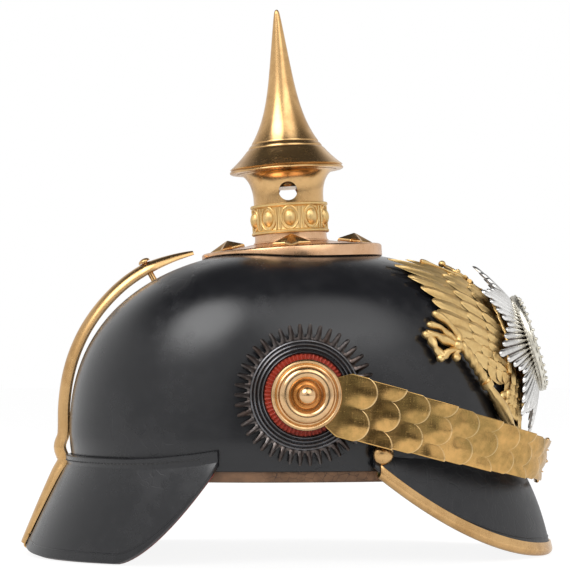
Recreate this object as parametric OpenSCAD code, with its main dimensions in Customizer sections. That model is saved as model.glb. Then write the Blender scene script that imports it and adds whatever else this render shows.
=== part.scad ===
/* [Skull] */
// Length of the skull at its widest level
skull_l = 221.3; // [205:0.5:240]
// Width of the skull at its widest level
skull_w = 176; // [165:0.5:188]
// Height from the bottom edge of the skull to its crown
skull_h = 106; // [98:0.5:114]
// Height of the widest level above the bottom edge
level_h = 16; // [10:0.5:20]
// How far the widest station lies behind the crown axis
widest_back = 18.5; // [10:0.5:26]
// Thickness of the lacquered leather
skull_wall = 2.8; // [2:0.1:3.5]
// Roundness exponent of the dome towards the front
round_front = 2.8; // [2.4:0.05:3.2]
// Roundness exponent of the dome at the sides
round_side = 3; // [2.6:0.05:3.3]
// Roundness exponent of the dome towards the back
round_rear = 2.3; // [2.1:0.05:2.8]
// Roundness exponent of the plan outline
round_plan = 2.1; // [2:0.05:2.3]
// How much the bottom edge is drawn in, as a share of the radius
edge_draw = 0.02; // [0:0.005:0.03]
// Crown axis in front of the origin
crown_x = 3.5; // [-5:0.5:10]
// Height of the skull's bottom edge above the surface that the helmet stands on
brim_drop = 44; // [40:0.5:50]

/* [Inside] */
// Height of the sweatband from its rolled hem to its top
band_h = 52; // [45:0.5:58]
// How far the rolled hem shows below the skull
band_show = 5.3; // [3:0.1:7]
// Thickness of the sweatband leather
band_t = 1.6; // [1.2:0.1:2.2]
// How far the top of the sweatband leans in from the skull
band_lean = 12; // [10:0.5:14]
// Thickness of the silk liner
liner_t = 1; // [0.8:0.1:1.6]
// Space between the liner's top and the crown
liner_drop = 24; // [20:1:34]
// Depth of the liner's gathers
pleat_d = 0.9; // [0.4:0.1:1.4]

/* [Visors] */
// Thickness of the visor leather
visor_t = 2.6; // [2:0.1:3.2]
// Thickness of the coloured lining under a visor
lining_t = 0.8; // [0.6:0.1:1.2]
// Reach of the front visor's rim in front of the origin
front_reach = 129.3; // [122:0.5:136]
// Half width of the front visor's rim outline
front_half = 87; // [80:0.5:90]
// Where the front visor's corners lie in front of the origin
front_corner_x = 41; // [34:0.5:50]
// Reach of the rear visor's rim behind the origin
rear_reach = 126.3; // [122:0.5:136]
// Half width of the rear visor's rim outline
rear_half = 87.5; // [84:0.5:92]
// Where the rear visor's corners lie behind the origin
rear_corner_x = 31; // [24:0.5:40]
// Height of the rear visor's rim above the standing surface
rear_rim_z = 0.45; // [0.4:0.05:2]

/* [Visor trim] */
// Wall of the brass channel on the front visor's rim
trim_wall = 0.9; // [0.7:0.1:1.2]
// How far the channel's legs reach over the visor
trim_leg = 3.4; // [2.5:0.1:4.5]
// Diameter of the domed studs at the channel's ends
trim_stud_d = 9; // [8:0.5:11]
// Diameter of the trim studs' shanks
trim_post_d = 3; // [2:0.1:4]

/* [Spine] */
// Width of the spine strip
spine_w = 13; // [10:0.5:16]
// Depth of the spine's half round section
spine_d = 5.6; // [4:0.1:7]
// Wall of the spine strip
spine_wall = 1; // [0.8:0.1:1.4]
// Gap between the spine and the skull near the crown
spine_stand = 4.5; // [3:0.1:6]
// Diameter of the spine's fixing stud
spine_stud_d = 6; // [5:0.5:8]

/* [Crown fittings] */
// Backward lean of the crown axis
crown_lean = 3.6; // [0:0.1:4]
// Diameter of the base plate
base_d = 90; // [84:1:94]
// Height of the base plate's turned rim
base_rim_h = 3.4; // [2.5:0.1:4.5]
// How far the base plate's rim sits below the crown
base_sink = 2.2; // [1.4:0.1:2.6]
// Rise of the base plate's dome above its rim
base_dome = 2.8; // [2.6:0.1:5]
// Sheet thickness of the brass fittings
sheet_t = 0.9; // [0.7:0.1:1.2]
// Distance of the star studs from the crown axis
star_stud_r = 31; // [28:0.5:33]
// Diameter across the points of a star stud
star_stud_d = 20; // [16:0.5:22]
// Height of a star stud
star_stud_h = 5; // [3.5:0.1:6]
// Diameter of the studs' threaded posts
post_d = 4; // [3:0.1:5]
// Diameter of the neck where the base plate carries it
neck_d = 37; // [34:0.5:39]
// Height of the smooth collar
collar_h = 4.6; // [3:0.1:6]
// Height of the gilt pearl ring
pearl_h = 15; // [13:0.5:18]
// Height of the trumpet part of the neck
trumpet_h = 16; // [14:0.5:20]
// Diameter of the trumpet's mouth
mouth_d = 49; // [46:0.5:52]
// Number of pearls round the neck
pearls = 10; // [8:1:12]
// Diameter of the two ventilation holes
vent_d = 9.2; // [7:0.1:10]
// Diameter of the spike's flange
flange_d = 57; // [54:0.5:60]
// Height of the spike above its flange
spike_h = 82; // [70:1:95]
// Diameter of the spike's plug
plug_d = 27; // [24:0.5:30]
// Length of the spike's plug
plug_h = 8; // [6:0.5:10]

/* [Front plate] */
// Gap between the skull and the back of the eagle plate
plate_gap = 1.6; // [1:0.1:3]
// Sheet thickness of the eagle plate
plate_t = 1.6; // [1.2:0.1:2.2]
// Diameter across the long rays of the star
star_d = 90; // [80:1:96]
// Number of narrow rays of the star
star_rays = 64; // [48:8:72]
// Height of the star's outline centre above the standing surface
star_z = 99.7; // [96:0.1:104]
// Distance of the star's outline centre behind the skull's front face at that height
star_inset = 3; // [0:0.1:6]
// Rise of the star's middle over its tips
star_rise = 18; // [14:0.5:20]
// Backward tilt of the star
star_tilt = 17.5; // [10:0.5:22]
// Diameter of the medallion
medal_d = 50; // [44:0.5:54]
// Rise of the medallion's dome
medal_rise = 8; // [5:0.5:9]
// Diameter of the front plate's threaded posts
plate_post_d = 3; // [2.5:0.1:4]

/* [Cockades] */
// Distance of the cockades' axis in front of the origin
side_x = 9.2; // [5:0.1:14]
// Height of the cockades' axis above the standing surface
side_z = 79.6; // [76:0.1:84]
// Diameter of a cockade over its teeth
cockade_d = 66; // [58:0.5:68]
// Number of teeth round a cockade
cockade_teeth = 42; // [36:1:48]
// Diameter of the middle ring
cockade_ring_d = 51.2; // [46:0.2:54]
// Diameter of the coloured centre
cockade_core_d = 38.2; // [34:0.2:42]
// Thickness of the cockade's sheet
cockade_t = 1; // [0.8:0.1:1.4]
// Height of the strap above the back of the cockade
strap_lift = 6.5; // [6:0.1:9]
// Diameter of a strap boss
boss_d = 33; // [28:0.5:36]
// Height of a strap boss above the strap
boss_h = 7.5; // [6:0.1:9]

/* [Chin strap] */
// Number of scales on each half
scales = 9; // [9:1:9]
// Distance of the strap's front behind the front visor's farthest point
strap_behind = 1.75; // [0:0.05:4]
// Sheet thickness of a scale
scale_t = 0.7; // [0.5:0.1:0.9]
// Running gap under each scale
scale_gap = 0.35; // [0.25:0.05:0.5]
// How far each scale reaches under the one behind it
scale_tuck = 4.5; // [3:0.1:5.5]
// Length of the end plate from the boss to its tail
end_plate_l = 32; // [28:0.5:36]
// Width of the strap at the end plate
strap_w_rear = 30; // [26:0.5:32]
// Width of the strap at the buckle
strap_w_front = 20; // [16:0.5:24]
// Bend of the strap at the first scale
bend_first = 3; // [2:0.1:6]
// Bend of the strap at the buckle
bend_last = 13.4; // [10:0.1:15]
// Downward slope of the strap towards the front
strap_slope = 15; // [12:0.1:20]
// Length of the buckle end of each half
buckle_l = 29; // [26:0.5:32]
// Thickness of the leather behind the scales
strap_t = 1.5; // [1:0.1:2]
// Diameter of the buckle's wire
wire_d = 2; // [1.6:0.1:2.6]

/* [Hidden] */
$fn = 64;
SIDES = ["right", "left"];

// Colours, as the eye sees them.
black_leather = "#1b1a1c";
brown_leather = "#7a4a2c";
silk = "#b9a98c";
green_leather = "#2f5c43";
red_leather = "#9c2f2a";
brass = "#c69a3f";
gilt = "#d8ad48";
silver = "#b8b6ae";
dark_silver = "#6d6a66";

// Small fits.
seat_gap = 0.3;
touch_gap = 0.1;
hole_gap = 0.25;

// Heights that follow from the sizes above.
edge_z = brim_drop;
level_z = edge_z + level_h;
dome_h = skull_h - level_h;
apex_z = edge_z + skull_h;

// Plain helpers.
function mixed(a, b, t) = a + (b - a) * t;
function held(t) = min(1, max(0, t));
function unit(v) = v / norm(v);
function total(list, last) = last < 0 ? 0 : list[last] + total(list, last - 1);

// Six times the volume of the body that the triangles close.
function swept_volume(points, faces) =
    [for (f = faces) points[f[0]] * cross(points[f[1]], points[f[2]])]
    * [for (f = faces) 1];

function band_faces(a, b, m) =
    [for (k = [0:m - 1])
        each [[a + k, b + k, b + (k + 1) % m], [a + k, b + (k + 1) % m, a + (k + 1) % m]]];

function cap_faces(first, m) =
    [for (k = [0:m / 2 - 2])
        each [[first + k, first + k + 1, first + m - 2 - k],
              [first + k, first + m - 2 - k, first + m - 1 - k]]];

// A body whose skin runs over rings of points, from the first ring to the last.
// With looped, the last ring joins the first; otherwise each end is closed.
module skin(rings, looped = false) {
    m = len(rings[0]);
    n = len(rings);
    points = [for (r = rings) each r];
    bands = [for (i = [0:n - 2]) each band_faces(i * m, (i + 1) * m, m)];
    ends = looped
        ? band_faces((n - 1) * m, 0, m)
        : concat(cap_faces(0, m), [for (f = cap_faces((n - 1) * m, m)) [f[2], f[1], f[0]]]);
    faces = concat(bands, ends);
    turned = swept_volume(points, faces) > 0;
    polyhedron(points, turned ? [for (f = faces) [f[2], f[1], f[0]]] : faces);
}

// The unit normal of a grid of points at row i and column j.
function grid_normal(g, i, j) =
    let (along = g[min(i + 1, len(g) - 1)][j] - g[max(i - 1, 0)][j],
         down = g[i][min(j + 1, len(g[0]) - 1)] - g[i][max(j - 1, 0)])
    unit(cross(along, down));

// A sheet between two offsets from a grid of points.
module sheet(g, near, far) {
    skin([for (i = [0:len(g) - 1])
        concat([for (j = [0:len(g[0]) - 1]) g[i][j] + far * grid_normal(g, i, j)],
               [for (j = [len(g[0]) - 1:-1:0]) g[i][j] + near * grid_normal(g, i, j)])]);
}

// Outline of the skull from above, at an azimuth round its widest station: 0 is the front, 90 the left.
function plan_point(a, out) =
    let (c = cos(a), s = sin(a), reach = skull_l / 2 + sign(c) * widest_back + out)
    [sign(c) * reach * pow(abs(c), 2 / round_plan) - widest_back,
     sign(s) * (skull_w / 2 + out) * pow(abs(s), 2 / round_plan)];

function roundness(a) =
    let (c = cos(a)) mixed(round_side, c > 0 ? round_front : round_rear, c * c);

// Point of the skull's outer face, grown by out, at an azimuth and a height.
function skull_at(a, z, out) =
    let (p = plan_point(a, out), n = roundness(a),
         up = (z - level_z) / (dome_h + out), low = (level_z - z) / level_h,
         f = z > level_z ? pow(max(0, 1 - pow(up, n)), 1 / n) : 1 - edge_draw * low * low)
    [crown_x + p.x * f, p.y * f, z];

// Point of the same face at a climb from 0 at the widest level to 90 at the crown.
function dome_at(a, climb, out) =
    let (p = plan_point(a, out), n = roundness(a), f = pow(cos(climb), 2 / n))
    [crown_x + p.x * f, p.y * f, level_z + (dome_h + out) * pow(sin(climb), 2 / n)];

// Half width of the skull at a place along X and a height.
function side_reach(x, z) =
    let (p = x - crown_x + widest_back,
         reach = skull_l / 2 + sign(p) * widest_back,
         share = pow(1 - pow(abs(p) / reach, round_plan), 1 / round_plan))
    skull_w / 2 * share * (z > level_z
        ? pow(1 - pow((z - level_z) / dome_h, round_side), 1 / round_side)
        : 1 - edge_draw * pow((level_z - z) / level_h, 2));

// Azimuth at which the skull's outline passes a place along X.
function azimuth_at(x) =
    let (p = x - crown_x + widest_back, reach = skull_l / 2 + sign(p) * widest_back,
         c = pow(abs(p) / reach, round_plan / 2))
    acos(sign(p) * c);

// Skull.
skull_steps = 52;
skull_climbs = [0, 4, 12, 21, 31, 41, 51, 60, 68, 75, 80.5, 84.5, 87.5];

function skull_ring(a_steps, out, low) =
    [for (k = [0:a_steps - 1]) skull_at(360 * k / a_steps, low, out)];

function climb_ring(a_steps, out, climb) =
    [for (k = [0:a_steps - 1]) dome_at(360 * k / a_steps, climb, out)];

module skull_shell() {
    climbs = skull_climbs;
    outer = concat([for (i = [len(climbs) - 1:-1:0]) climb_ring(skull_steps, 0, climbs[i])],
                   [for (z = [edge_z + level_h * 0.5, edge_z]) skull_ring(skull_steps, 0, z)]);
    inner = concat([for (z = [edge_z, edge_z + level_h * 0.5]) skull_ring(skull_steps, -skull_wall, z)],
                   [for (c = climbs) climb_ring(skull_steps, -skull_wall, c)]);
    skin(concat(outer, inner));
}

// The skull's outer form as a solid, grown by a gap.
module skull_form(out) {
    skin(concat([for (i = [len(skull_climbs) - 1:-1:0]) climb_ring(skull_steps, out, skull_climbs[i])],
                [skull_ring(skull_steps, out, edge_z)]));
}

vent_r = neck_d / 2 - 6;

module skull() {
    color(black_leather)
    difference() {
        skull_shell();
        on_crown() cylinder(h = 60, r = vent_r, center = true);
        each_star_stud() cylinder(h = 60, d = post_d + 2 * hole_gap, center = true);
        each_side() cylinder(h = 60, d = boss_post_d + 2 * hole_gap, center = true);
        each_plate_post() cylinder(h = 60, d = plate_post_d + 2 * hole_gap, center = true);
        each_trim_stud() cylinder(h = 30, d = trim_post_d + 2 * hole_gap, center = true);
        at_spine_stud() cylinder(h = 50, d = spine_post_d + 2 * hole_gap, center = true);
    }
}

// Sweatband: a rolled hem under the skull's edge and a band that leans in above it.
band_top_z = edge_z - band_show + band_h;
band_bend_z = edge_z + level_h * 0.6;

function band_section(a) =
    let (hem_in = skull_wall + seat_gap, low = edge_z - band_show)
    [skull_at(a, low, -1.4), skull_at(a, edge_z - touch_gap, -1.4),
     skull_at(a, edge_z - touch_gap, -hem_in), skull_at(a, band_bend_z, -hem_in),
     skull_at(a, band_top_z, -band_lean), skull_at(a, band_top_z, -band_lean - band_t),
     skull_at(a, band_bend_z, -hem_in - band_t), skull_at(a, low + 1, -hem_in - band_t),
     skull_at(a, low, -hem_in - band_t / 2)];

module sweatband() {
    color(brown_leather)
    skin([for (k = [0:skull_steps - 1]) band_section(360 * k / skull_steps)], looped = true);
}

// Silk liner: a gathered dome sewn inside the top of the sweatband.
pleats = 16;
liner_steps = 4 * pleats;
liner_out = band_lean + band_t + seat_gap;
liner_low_z = band_top_z - 1.2;
liner_low = 30;

function liner_at(k, climb, deep) =
    let (a = 360 * k / liner_steps, wave = pleat_d * cos(90 * k),
         p = skull_at(a, band_top_z, -liner_out - deep + wave - pleat_d) - [crown_x, 0, 0],
         f = pow(cos(climb), 0.75),
         rise = (apex_z - liner_drop - liner_low_z - deep) * pow(sin(climb), 0.85))
    [crown_x + p.x * f, p.y * f, liner_low_z + rise];

function liner_ring(climb, deep) = [for (k = [0:liner_steps - 1]) liner_at(k, climb, deep)];

module liner() {
    climbs = [0, 18, 38, 58, 75, 85];
    color(silk)
    skin(concat([for (i = [len(climbs) - 1:-1:0]) liner_ring(climbs[i], 0)],
                [for (c = climbs) liner_ring(c, liner_t)]));
}

// Half of the rim's leather inside the channel, and the middle of that leather from the visor's inner face.
trim_half = (visor_t + lining_t + touch_gap) / 2 + touch_gap;
trim_mid = (lining_t + touch_gap - visor_t) / 2;

// Visors: each is a flange on the skull, a fold at the edge and a flare down to the rim.
visor_steps = 30;
flare_steps = 5;
visor_seat = 0.4;

function bowed(p, q, sway, drop, t) =
    let (c = [mixed(p.x, q.x, sway), mixed(p.y, q.y, sway), mixed(p.z, q.z, drop)])
    (1 - t) * (1 - t) * p + 2 * t * (1 - t) * c + t * t * q;

front_end_a = azimuth_at(front_corner_x);
front_end_rim = acos(front_corner_x / front_reach);
front_rim_rise = brim_drop + 1.5;
front_tip_z = trim_wall + trim_half - 0.05;

function front_rim(u) =
    let (t = front_end_rim * u, x = front_reach * cos(t))
    [x, front_half * sin(t),
     front_tip_z + (front_rim_rise - front_tip_z)
         * pow((front_reach - x) / (front_reach - front_corner_x), 1.7)];

function front_row(u) =
    let (a = front_end_a * u, fold = skull_at(a, mixed(edge_z + 1, edge_z + 7, u * u), visor_seat))
    concat([skull_at(a, mixed(edge_z + 7, edge_z + 13, u * u), visor_seat), fold],
           [for (j = [1:flare_steps]) bowed(fold, front_rim(u), 0.66, 0.36, j / flare_steps)]);

front_grid = [for (i = [0:visor_steps]) front_row(2 * i / visor_steps - 1)];

rear_end_a = 180 - azimuth_at(-rear_corner_x);
rear_plan_l = rear_reach - rear_corner_x;

// Rim height: level round the back, lifted a little under the spine's hook, rising to the corners.
function rear_rim_height(t) =
    rear_rim_z + 2.8 * exp(-pow(t / 16, 2))
    + (edge_z + 2 - rear_rim_z) * pow(held((abs(t) - 60) / 30), 1.6);

function rear_rim(u) =
    let (t = 90 * u)
    [-rear_corner_x - rear_plan_l * cos(t), -rear_half * sin(t), rear_rim_height(t)];

function rear_row(u) =
    let (a = 180 + rear_end_a * u, corner = pow(held((abs(u) - 0.6) / 0.4), 2),
         fold = skull_at(a, mixed(edge_z + 0.5, edge_z + 4, corner), visor_seat))
    concat([skull_at(a, mixed(edge_z + 5.5, edge_z + 10, corner), visor_seat), fold],
           [for (j = [1:flare_steps]) bowed(fold, rear_rim(u), 0.45, 0.4, j / flare_steps)]);

rear_grid = [for (i = [0:visor_steps]) rear_row(2 * i / visor_steps - 1)];

// The rows under a lining leave out the flange and stop short of the fold.
function under(g) = [for (row = g) [for (j = [2:len(row) - 1]) row[j]]];

module front_visor() {
    color(black_leather)
    difference() {
        sheet(front_grid, 0, -visor_t);
        each_trim_stud() cylinder(h = 30, d = trim_post_d + 2 * hole_gap, center = true);
    }
}

module rear_visor() {
    color(black_leather) sheet(rear_grid, 0, -visor_t);
}

module front_visor_lining() {
    color(green_leather) sheet(under(front_grid), touch_gap, touch_gap + lining_t);
}

module rear_visor_lining() {
    color(red_leather) sheet(under(rear_grid), touch_gap, touch_gap + lining_t);
}

// Brass channel on the front visor's rim.
trim_arc = [90, 54, 18, -18, -54, -90];

function trim_ring(i) =
    let (last = len(front_grid[0]) - 1, rim = front_grid[i][last],
         n = grid_normal(front_grid, i, last),
         d = unit(rim - front_grid[i][last - 1]),
         c = rim + trim_mid * n + 0.15 * d)
    [for (side = [trim_half + trim_wall, -trim_half])
        each [for (t = [0:7]) let (a = trim_arc[min(max((side > 0 ? t : 7 - t) - 1, 0), 5)], r = abs(side),
                                   leg = (t == 0 || t == 7) ? trim_leg : 0)
            c - leg * d + r * cos(a) * d + r * sin(a) * n]];

module front_trim() {
    color(brass)
    skin([for (i = [1:visor_steps - 1]) trim_ring(i)]);
}

// Domed studs that end the channel, screwed through the visor's flange and the skull.
trim_stud_z = edge_z + 9.8;
trim_stud_x = front_corner_x + 4;

module at_trim_stud(side) {
    y = side_reach(trim_stud_x, trim_stud_z) + visor_seat + visor_t + seat_gap + 0.6;
    translate([trim_stud_x, side * y, trim_stud_z]) rotate([-90 * side, 0, -24 * side]) children();
}

module each_trim_stud() {
    for (side = [-1, 1]) at_trim_stud(side) children();
}

module trim_stud() {
    r = trim_stud_d / 2;
    rotate_extrude() polygon(concat([[0, 0], [r, 0], [r, 0.7]], [for (t = [25:13:90]) [r * cos(t), r * 0.62 * sin(t)]]));
    reach = visor_t + skull_wall + visor_seat + 0.6;
    translate([0, 0, -reach]) cylinder(h = reach, d = trim_post_d);
}

module trim_studs() {
    color(brass) each_trim_stud() trim_stud();
}

// Spine: a half round strip from the base plate down the back and over the rear visor's rim.
spine_climbs = [68, 62, 55, 48, 41, 34, 27, 20, 13, 6];
rear_middle = rear_grid[visor_steps / 2];

function spine_seat(k) =
    let (c = spine_climbs[k]) dome_at(180, c, mixed(seat_gap + 0.4, spine_stand, held(c / 50)));

function visor_face(j) =
    rear_middle[j] - (visor_t + seat_gap) * grid_normal(rear_grid, visor_steps / 2, j);

spine_line = concat(
    [for (k = [0:len(spine_climbs) - 1]) spine_seat(k)],
    [skull_at(180, level_z - 1, seat_gap + 0.6), skull_at(180, edge_z + 8.5, visor_t + seat_gap * 2)],
    [for (j = [1:len(rear_middle) - 1]) visor_face(j)]);

function spine_out(k) =
    let (a = spine_line[max(k - 1, 0)], b = spine_line[min(k + 1, len(spine_line) - 1)],
         d = unit(b - a))
    [d.z, 0, -d.x];

function spine_ring(k) =
    let (n = spine_out(k), c = spine_line[k], ends = min(1, 0.25 + 0.4 * k),
         w = spine_w / 2 * ends, steps = 6,
         foot = held((len(spine_line) - 1 - k) / flare_steps),
         d = mixed(2, spine_d, held(k / 2)) * mixed(0.5, 1, foot))
    concat([for (i = [0:steps]) let (t = 180 * i / steps) c + [0, w * cos(t), 0] + d * sin(t) * n],
           [for (i = [steps:-1:0]) let (t = 180 * i / steps)
               c + [0, (w - spine_wall) * cos(t), 0] + (d - spine_wall) * sin(t) * n]);

// The hook is a folded strip round the rim: along the visor and out from its inner face.
module spine_hook() {
    last = len(rear_middle) - 1;
    rim = rear_middle[last];
    d = unit(rim - rear_middle[last - 1]);
    n = -grid_normal(rear_grid, visor_steps / 2, last);
    reach = 5.5;
    end = seat_gap + spine_wall;
    high = visor_t + seat_gap;
    low = -lining_t - touch_gap - 2 * seat_gap;
    outline = [[-reach, low - spine_wall], [end, low - spine_wall], [end, high + spine_wall],
               [-reach, high + spine_wall], [-reach, high], [end - spine_wall, high],
               [end - spine_wall, low], [-reach, low]];
    rotate([90, 0, 0]) linear_extrude(spine_w, center = true)
        polygon([for (q = outline) let (p = rim + q.x * d + q.y * n) [p.x, p.z]]);
}

spine_post_d = 3;

module at_spine_stud() {
    k = 2;
    n = spine_out(k);
    translate(spine_line[k] + (spine_d + 0.2) * n) rotate([0, atan2(n.x, n.z), 0]) children();
}

module spine() {
    color(brass)
    difference() {
        union() {
            skin([for (k = [0:len(spine_line) - 1]) spine_ring(k)]);
            spine_hook();
        }
        at_spine_stud() cylinder(h = 40, d = spine_post_d + 2 * hole_gap, center = true);
    }
}

module spine_stud() {
    r = spine_stud_d / 2;
    color(brass)
    at_spine_stud() {
        rotate_extrude() polygon(concat([[0, 0], [r, 0]], [for (t = [20:14:90]) [r * cos(t), r * 0.6 * sin(t)]]));
        translate([0, 0, -18]) cylinder(h = 18.1, d = spine_post_d);
        translate([0, 0, -18]) cylinder(h = 3, d = 7);
    }
}

// Crown fittings, all on one axis that leans back.
base_z = apex_z - base_sink;
base_top = base_rim_h + base_dome;
neck_r = neck_d / 2;

module on_crown() {
    translate([crown_x, 0, base_z]) rotate([0, -crown_lean, 0]) children();
}

// The rim reaches this far below its own plane and is fitted to the skull.
rim_skirt = 5;

module base_plate() {
    r = base_d / 2;
    top = base_top;
    color(brass)
    difference() {
        on_crown() rotate_extrude($fn = 96) polygon([
            [r - 1.6, -rim_skirt], [r - 0.5, -rim_skirt], [r, 0.6], [r, base_rim_h - 1], [r - 0.8, base_rim_h], [r - 2.6, base_rim_h],
            [r - 3.4, base_rim_h - 0.7], [r - 5, base_rim_h - 0.3], [r - 14, top - 2], [neck_r + 3, top],
            [vent_r, top], [vent_r, top - sheet_t], [neck_r + 3, top - sheet_t], [r - 14, top - 2 - sheet_t],
            [r - 5, base_rim_h - 0.3 - sheet_t], [r - 3.4, base_rim_h - 0.7 - sheet_t], [r - 1.6, base_rim_h - 1.4]]);
        on_crown() for (t = [0:90:270]) rotate([0, 0, t]) translate([star_stud_r, 0, 0])
            cylinder(h = 30, d = post_d + 2 * hole_gap, center = true);
        skull_form(seat_gap);
    }
}

// Star studs: a ridged five pointed star on a threaded post.
stud_seat = base_top - 1;
stud_tilt = 6;

// Draws its children at each star stud, moved inward along the posts by the drops: front, left, rear, right.
module each_star_stud(drops = [0, 0, 0, 0]) {
    on_crown() for (k = [0:3]) rotate([0, 0, 90 * k]) translate([star_stud_r, 0, stud_seat]) rotate([0, stud_tilt, 0])
        translate([0, 0, -drops[k]]) children();
}

module star_head(r, h, points) {
    steps = 2 * points;
    low = [for (k = [0:steps - 1]) let (q = k % 2 == 0 ? r : r * 0.55) [q * cos(180 * k / points), q * sin(180 * k / points), 0]];
    lip = [for (p = low) p + [0, 0, 0.9]];
    body = concat(low, lip, [[0, 0, h]], [[0, 0, 0]]);
    polyhedron(body, concat(
        [for (k = [0:steps - 1]) each [[k, steps + k, steps + (k + 1) % steps], [k, steps + (k + 1) % steps, (k + 1) % steps]]],
        [for (k = [0:steps - 1]) [steps + k, 2 * steps, steps + (k + 1) % steps]],
        [for (k = [0:steps - 1]) [k, (k + 1) % steps, 2 * steps + 1]]));
}

stud_reach = 14;

module star_studs() {
    color(gilt)
    each_star_stud() {
        translate([0, 0, seat_gap]) star_head(star_stud_d / 2, star_stud_h, 5);
        translate([0, 0, -stud_reach]) cylinder(h = stud_reach + 1, d = post_d);
    }
}

module ring(h, outer, inner) {
    difference() {
        cylinder(h = h, d = outer);
        translate([0, 0, -1]) cylinder(h = h + 2, d = inner);
    }
}

module hex_nut(across, h, bore) {
    difference() {
        cylinder(h = h, d = across / cos(30), $fn = 6);
        translate([0, 0, -1]) cylinder(h = h + 2, d = bore);
    }
}

// Depth of each washer below its stud, where it meets the inside of the skull.
washer_drops = [10, 8.75, 7.2, 8.75];
washer_d = 11;
washer_t = 0.8;
nut_w = 8;
nut_h = 3;

module stud_washers() {
    color(brass) each_star_stud(washer_drops) ring(washer_t, washer_d, post_d + 2 * hole_gap);
}

module stud_nuts() {
    color(brass) each_star_stud(washer_drops) translate([0, 0, -nut_h - touch_gap])
        hex_nut(nut_w, nut_h, post_d + 2 * touch_gap);
}

// Neck of the spike: a smooth collar, a straight part under the pearls and a trumpet mouth.
neck_z = base_top + touch_gap;
pearl_z = neck_z + collar_h;
trumpet_z = pearl_z + pearl_h;
mouth_z = trumpet_z + trumpet_h;
vent_z = trumpet_z + 5.6;
wall = sheet_t + 0.2;

module spike_neck() {
    r = neck_r;
    mouth_r = mouth_d / 2;
    throat = r - 1;
    color(brass)
    on_crown() difference() {
        rotate_extrude($fn = 96) polygon(concat(
            [[r - wall, neck_z], [r + 0.2, neck_z], [r + 0.2, neck_z + 1], [r - 0.6, pearl_z - touch_gap],
             [r - 2.2, pearl_z - touch_gap], [r - 2.2, trumpet_z], [r - 1, trumpet_z]],
            [for (t = [0:15:90]) [throat + (mouth_r - throat) * (1 - cos(t)), trumpet_z + 3 + (trumpet_h - 3) * sin(t)]],
            [for (t = [90:-15:0]) [throat - wall + (mouth_r - throat) * (1 - cos(t)), trumpet_z + 3 + (trumpet_h - 3) * sin(t)]],
            [[r - 2.2 - wall, trumpet_z], [r - 2.2 - wall, neck_z + wall * 2]]));
        translate([0, 0, vent_z]) rotate([90, 0, 0]) cylinder(h = mouth_d + 10, d = vent_d, center = true);
    }
}

// Pearl ring: a gilt sleeve with a row of oval pearls between paired bars.
module pearl() {
    rotate([0, 0, -90]) rotate_extrude(angle = 180, $fn = 20)
        polygon(concat([[0, -4.5]], [for (t = [-60:30:60]) [3.2 * cos(t), 4.5 * sin(t)]], [[0, 4.5]]));
}

module pearl_ring() {
    r = neck_r - 2.2 + touch_gap;
    face = neck_r - 0.2;
    low = pearl_z;
    high = trumpet_z - touch_gap;
    color(gilt)
    on_crown() {
        rotate_extrude($fn = 96) polygon([
            [r, low], [face + 0.8, low], [face + 1.1, low + 0.8], [face + 0.8, low + 1.6], [face, low + 2],
            [face, high - 2], [face + 0.8, high - 1.6], [face + 1.1, high - 0.8], [face + 0.8, high], [r, high]]);
        for (k = [0:pearls - 1]) rotate([0, 0, 360 * (k + 0.5) / pearls]) {
            translate([face - 0.8, 0, (low + high) / 2]) pearl();
            for (t = [-1.8, 1.8]) rotate([0, 0, 180 / pearls + t])
                translate([face - 0.5, -0.45, low + 2]) cube([1.4, 0.9, pearl_h - 4]);
        }
    }
}

// Socket ring in the trumpet's mouth, which the spike's plug sits in.
socket_h = 4.5;
socket_lip = 1.2;
socket_low = mouth_z - socket_h - 0.6;

// Inner radius of the trumpet at a height above its foot.
function trumpet_bore(h) =
    let (t = asin((h - 3) / (trumpet_h - 3))) neck_r - 1 - wall + (mouth_d / 2 - neck_r + 1) * (1 - cos(t));

module neck_socket() {
    bore = plug_d / 2 + seat_gap;
    lip = trumpet_bore(trumpet_h - 0.6 - socket_lip) - touch_gap;
    color(brass)
    on_crown() translate([0, 0, socket_low]) rotate_extrude($fn = 96) polygon([
        [bore, 0], [bore + 1.6, 0], [bore + 1.6, socket_h - socket_lip], [lip, socket_h - socket_lip],
        [lip, socket_h], [bore, socket_h]]);
}

// Spike: a plug, a wide flange and a tall point with two engraved rings.
spike_z = mouth_z + touch_gap;

function spike_radius(t) =
    let (foot = flange_d / 2 - 1.7) 1.7 + foot * 0.62 * pow(1 - t, 5.2) * 1.0 + (foot * 0.38) * pow(1 - t, 0.92);

module spike() {
    flange_r = flange_d / 2;
    rise = 2.6;
    color(brass)
    on_crown() translate([0, 0, spike_z]) difference() {
        rotate_extrude($fn = 96) polygon(concat(
            [[0, -plug_h], [plug_d / 2 - 0.6, -plug_h], [plug_d / 2, -plug_h + 0.8], [plug_d / 2, 0],
             [flange_r - 1, 0], [flange_r, 0.7], [flange_r, 1.2], [flange_r - 0.7, 1.8]],
            [for (k = [0:20]) let (t = pow(k / 20, 1.3)) [spike_radius(t) - 0.35, rise + (spike_h - rise - 1.7) * t]],
            [[0.9, spike_h - 0.4], [0, spike_h]]));
        for (z = [12, 14.4]) translate([0, 0, z]) rotate_extrude($fn = 96)
            translate([spike_radius((z - rise) / (spike_h - rise - 1.7)) - 0.1, 0]) circle(d = 0.9, $fn = 16);
    }
}

// Front plate posts, straight back through the skull: one carries the star, two the eagle plate.
post_sides = [0, 36, -36];
post_past = 8.5;
star_x = front_face(0, star_z) - star_inset;

function plate_post_z(y) = y == 0 ? star_z + 4 : star_z - 4;
function plate_post_x(y) = front_face(y, plate_post_z(y));

module at_plate_post(y) {
    translate([plate_post_x(y), y, plate_post_z(y)]) rotate([0, 90, 0]) children();
}

module each_plate_post() {
    for (y = post_sides) at_plate_post(y) children();
}

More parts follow.
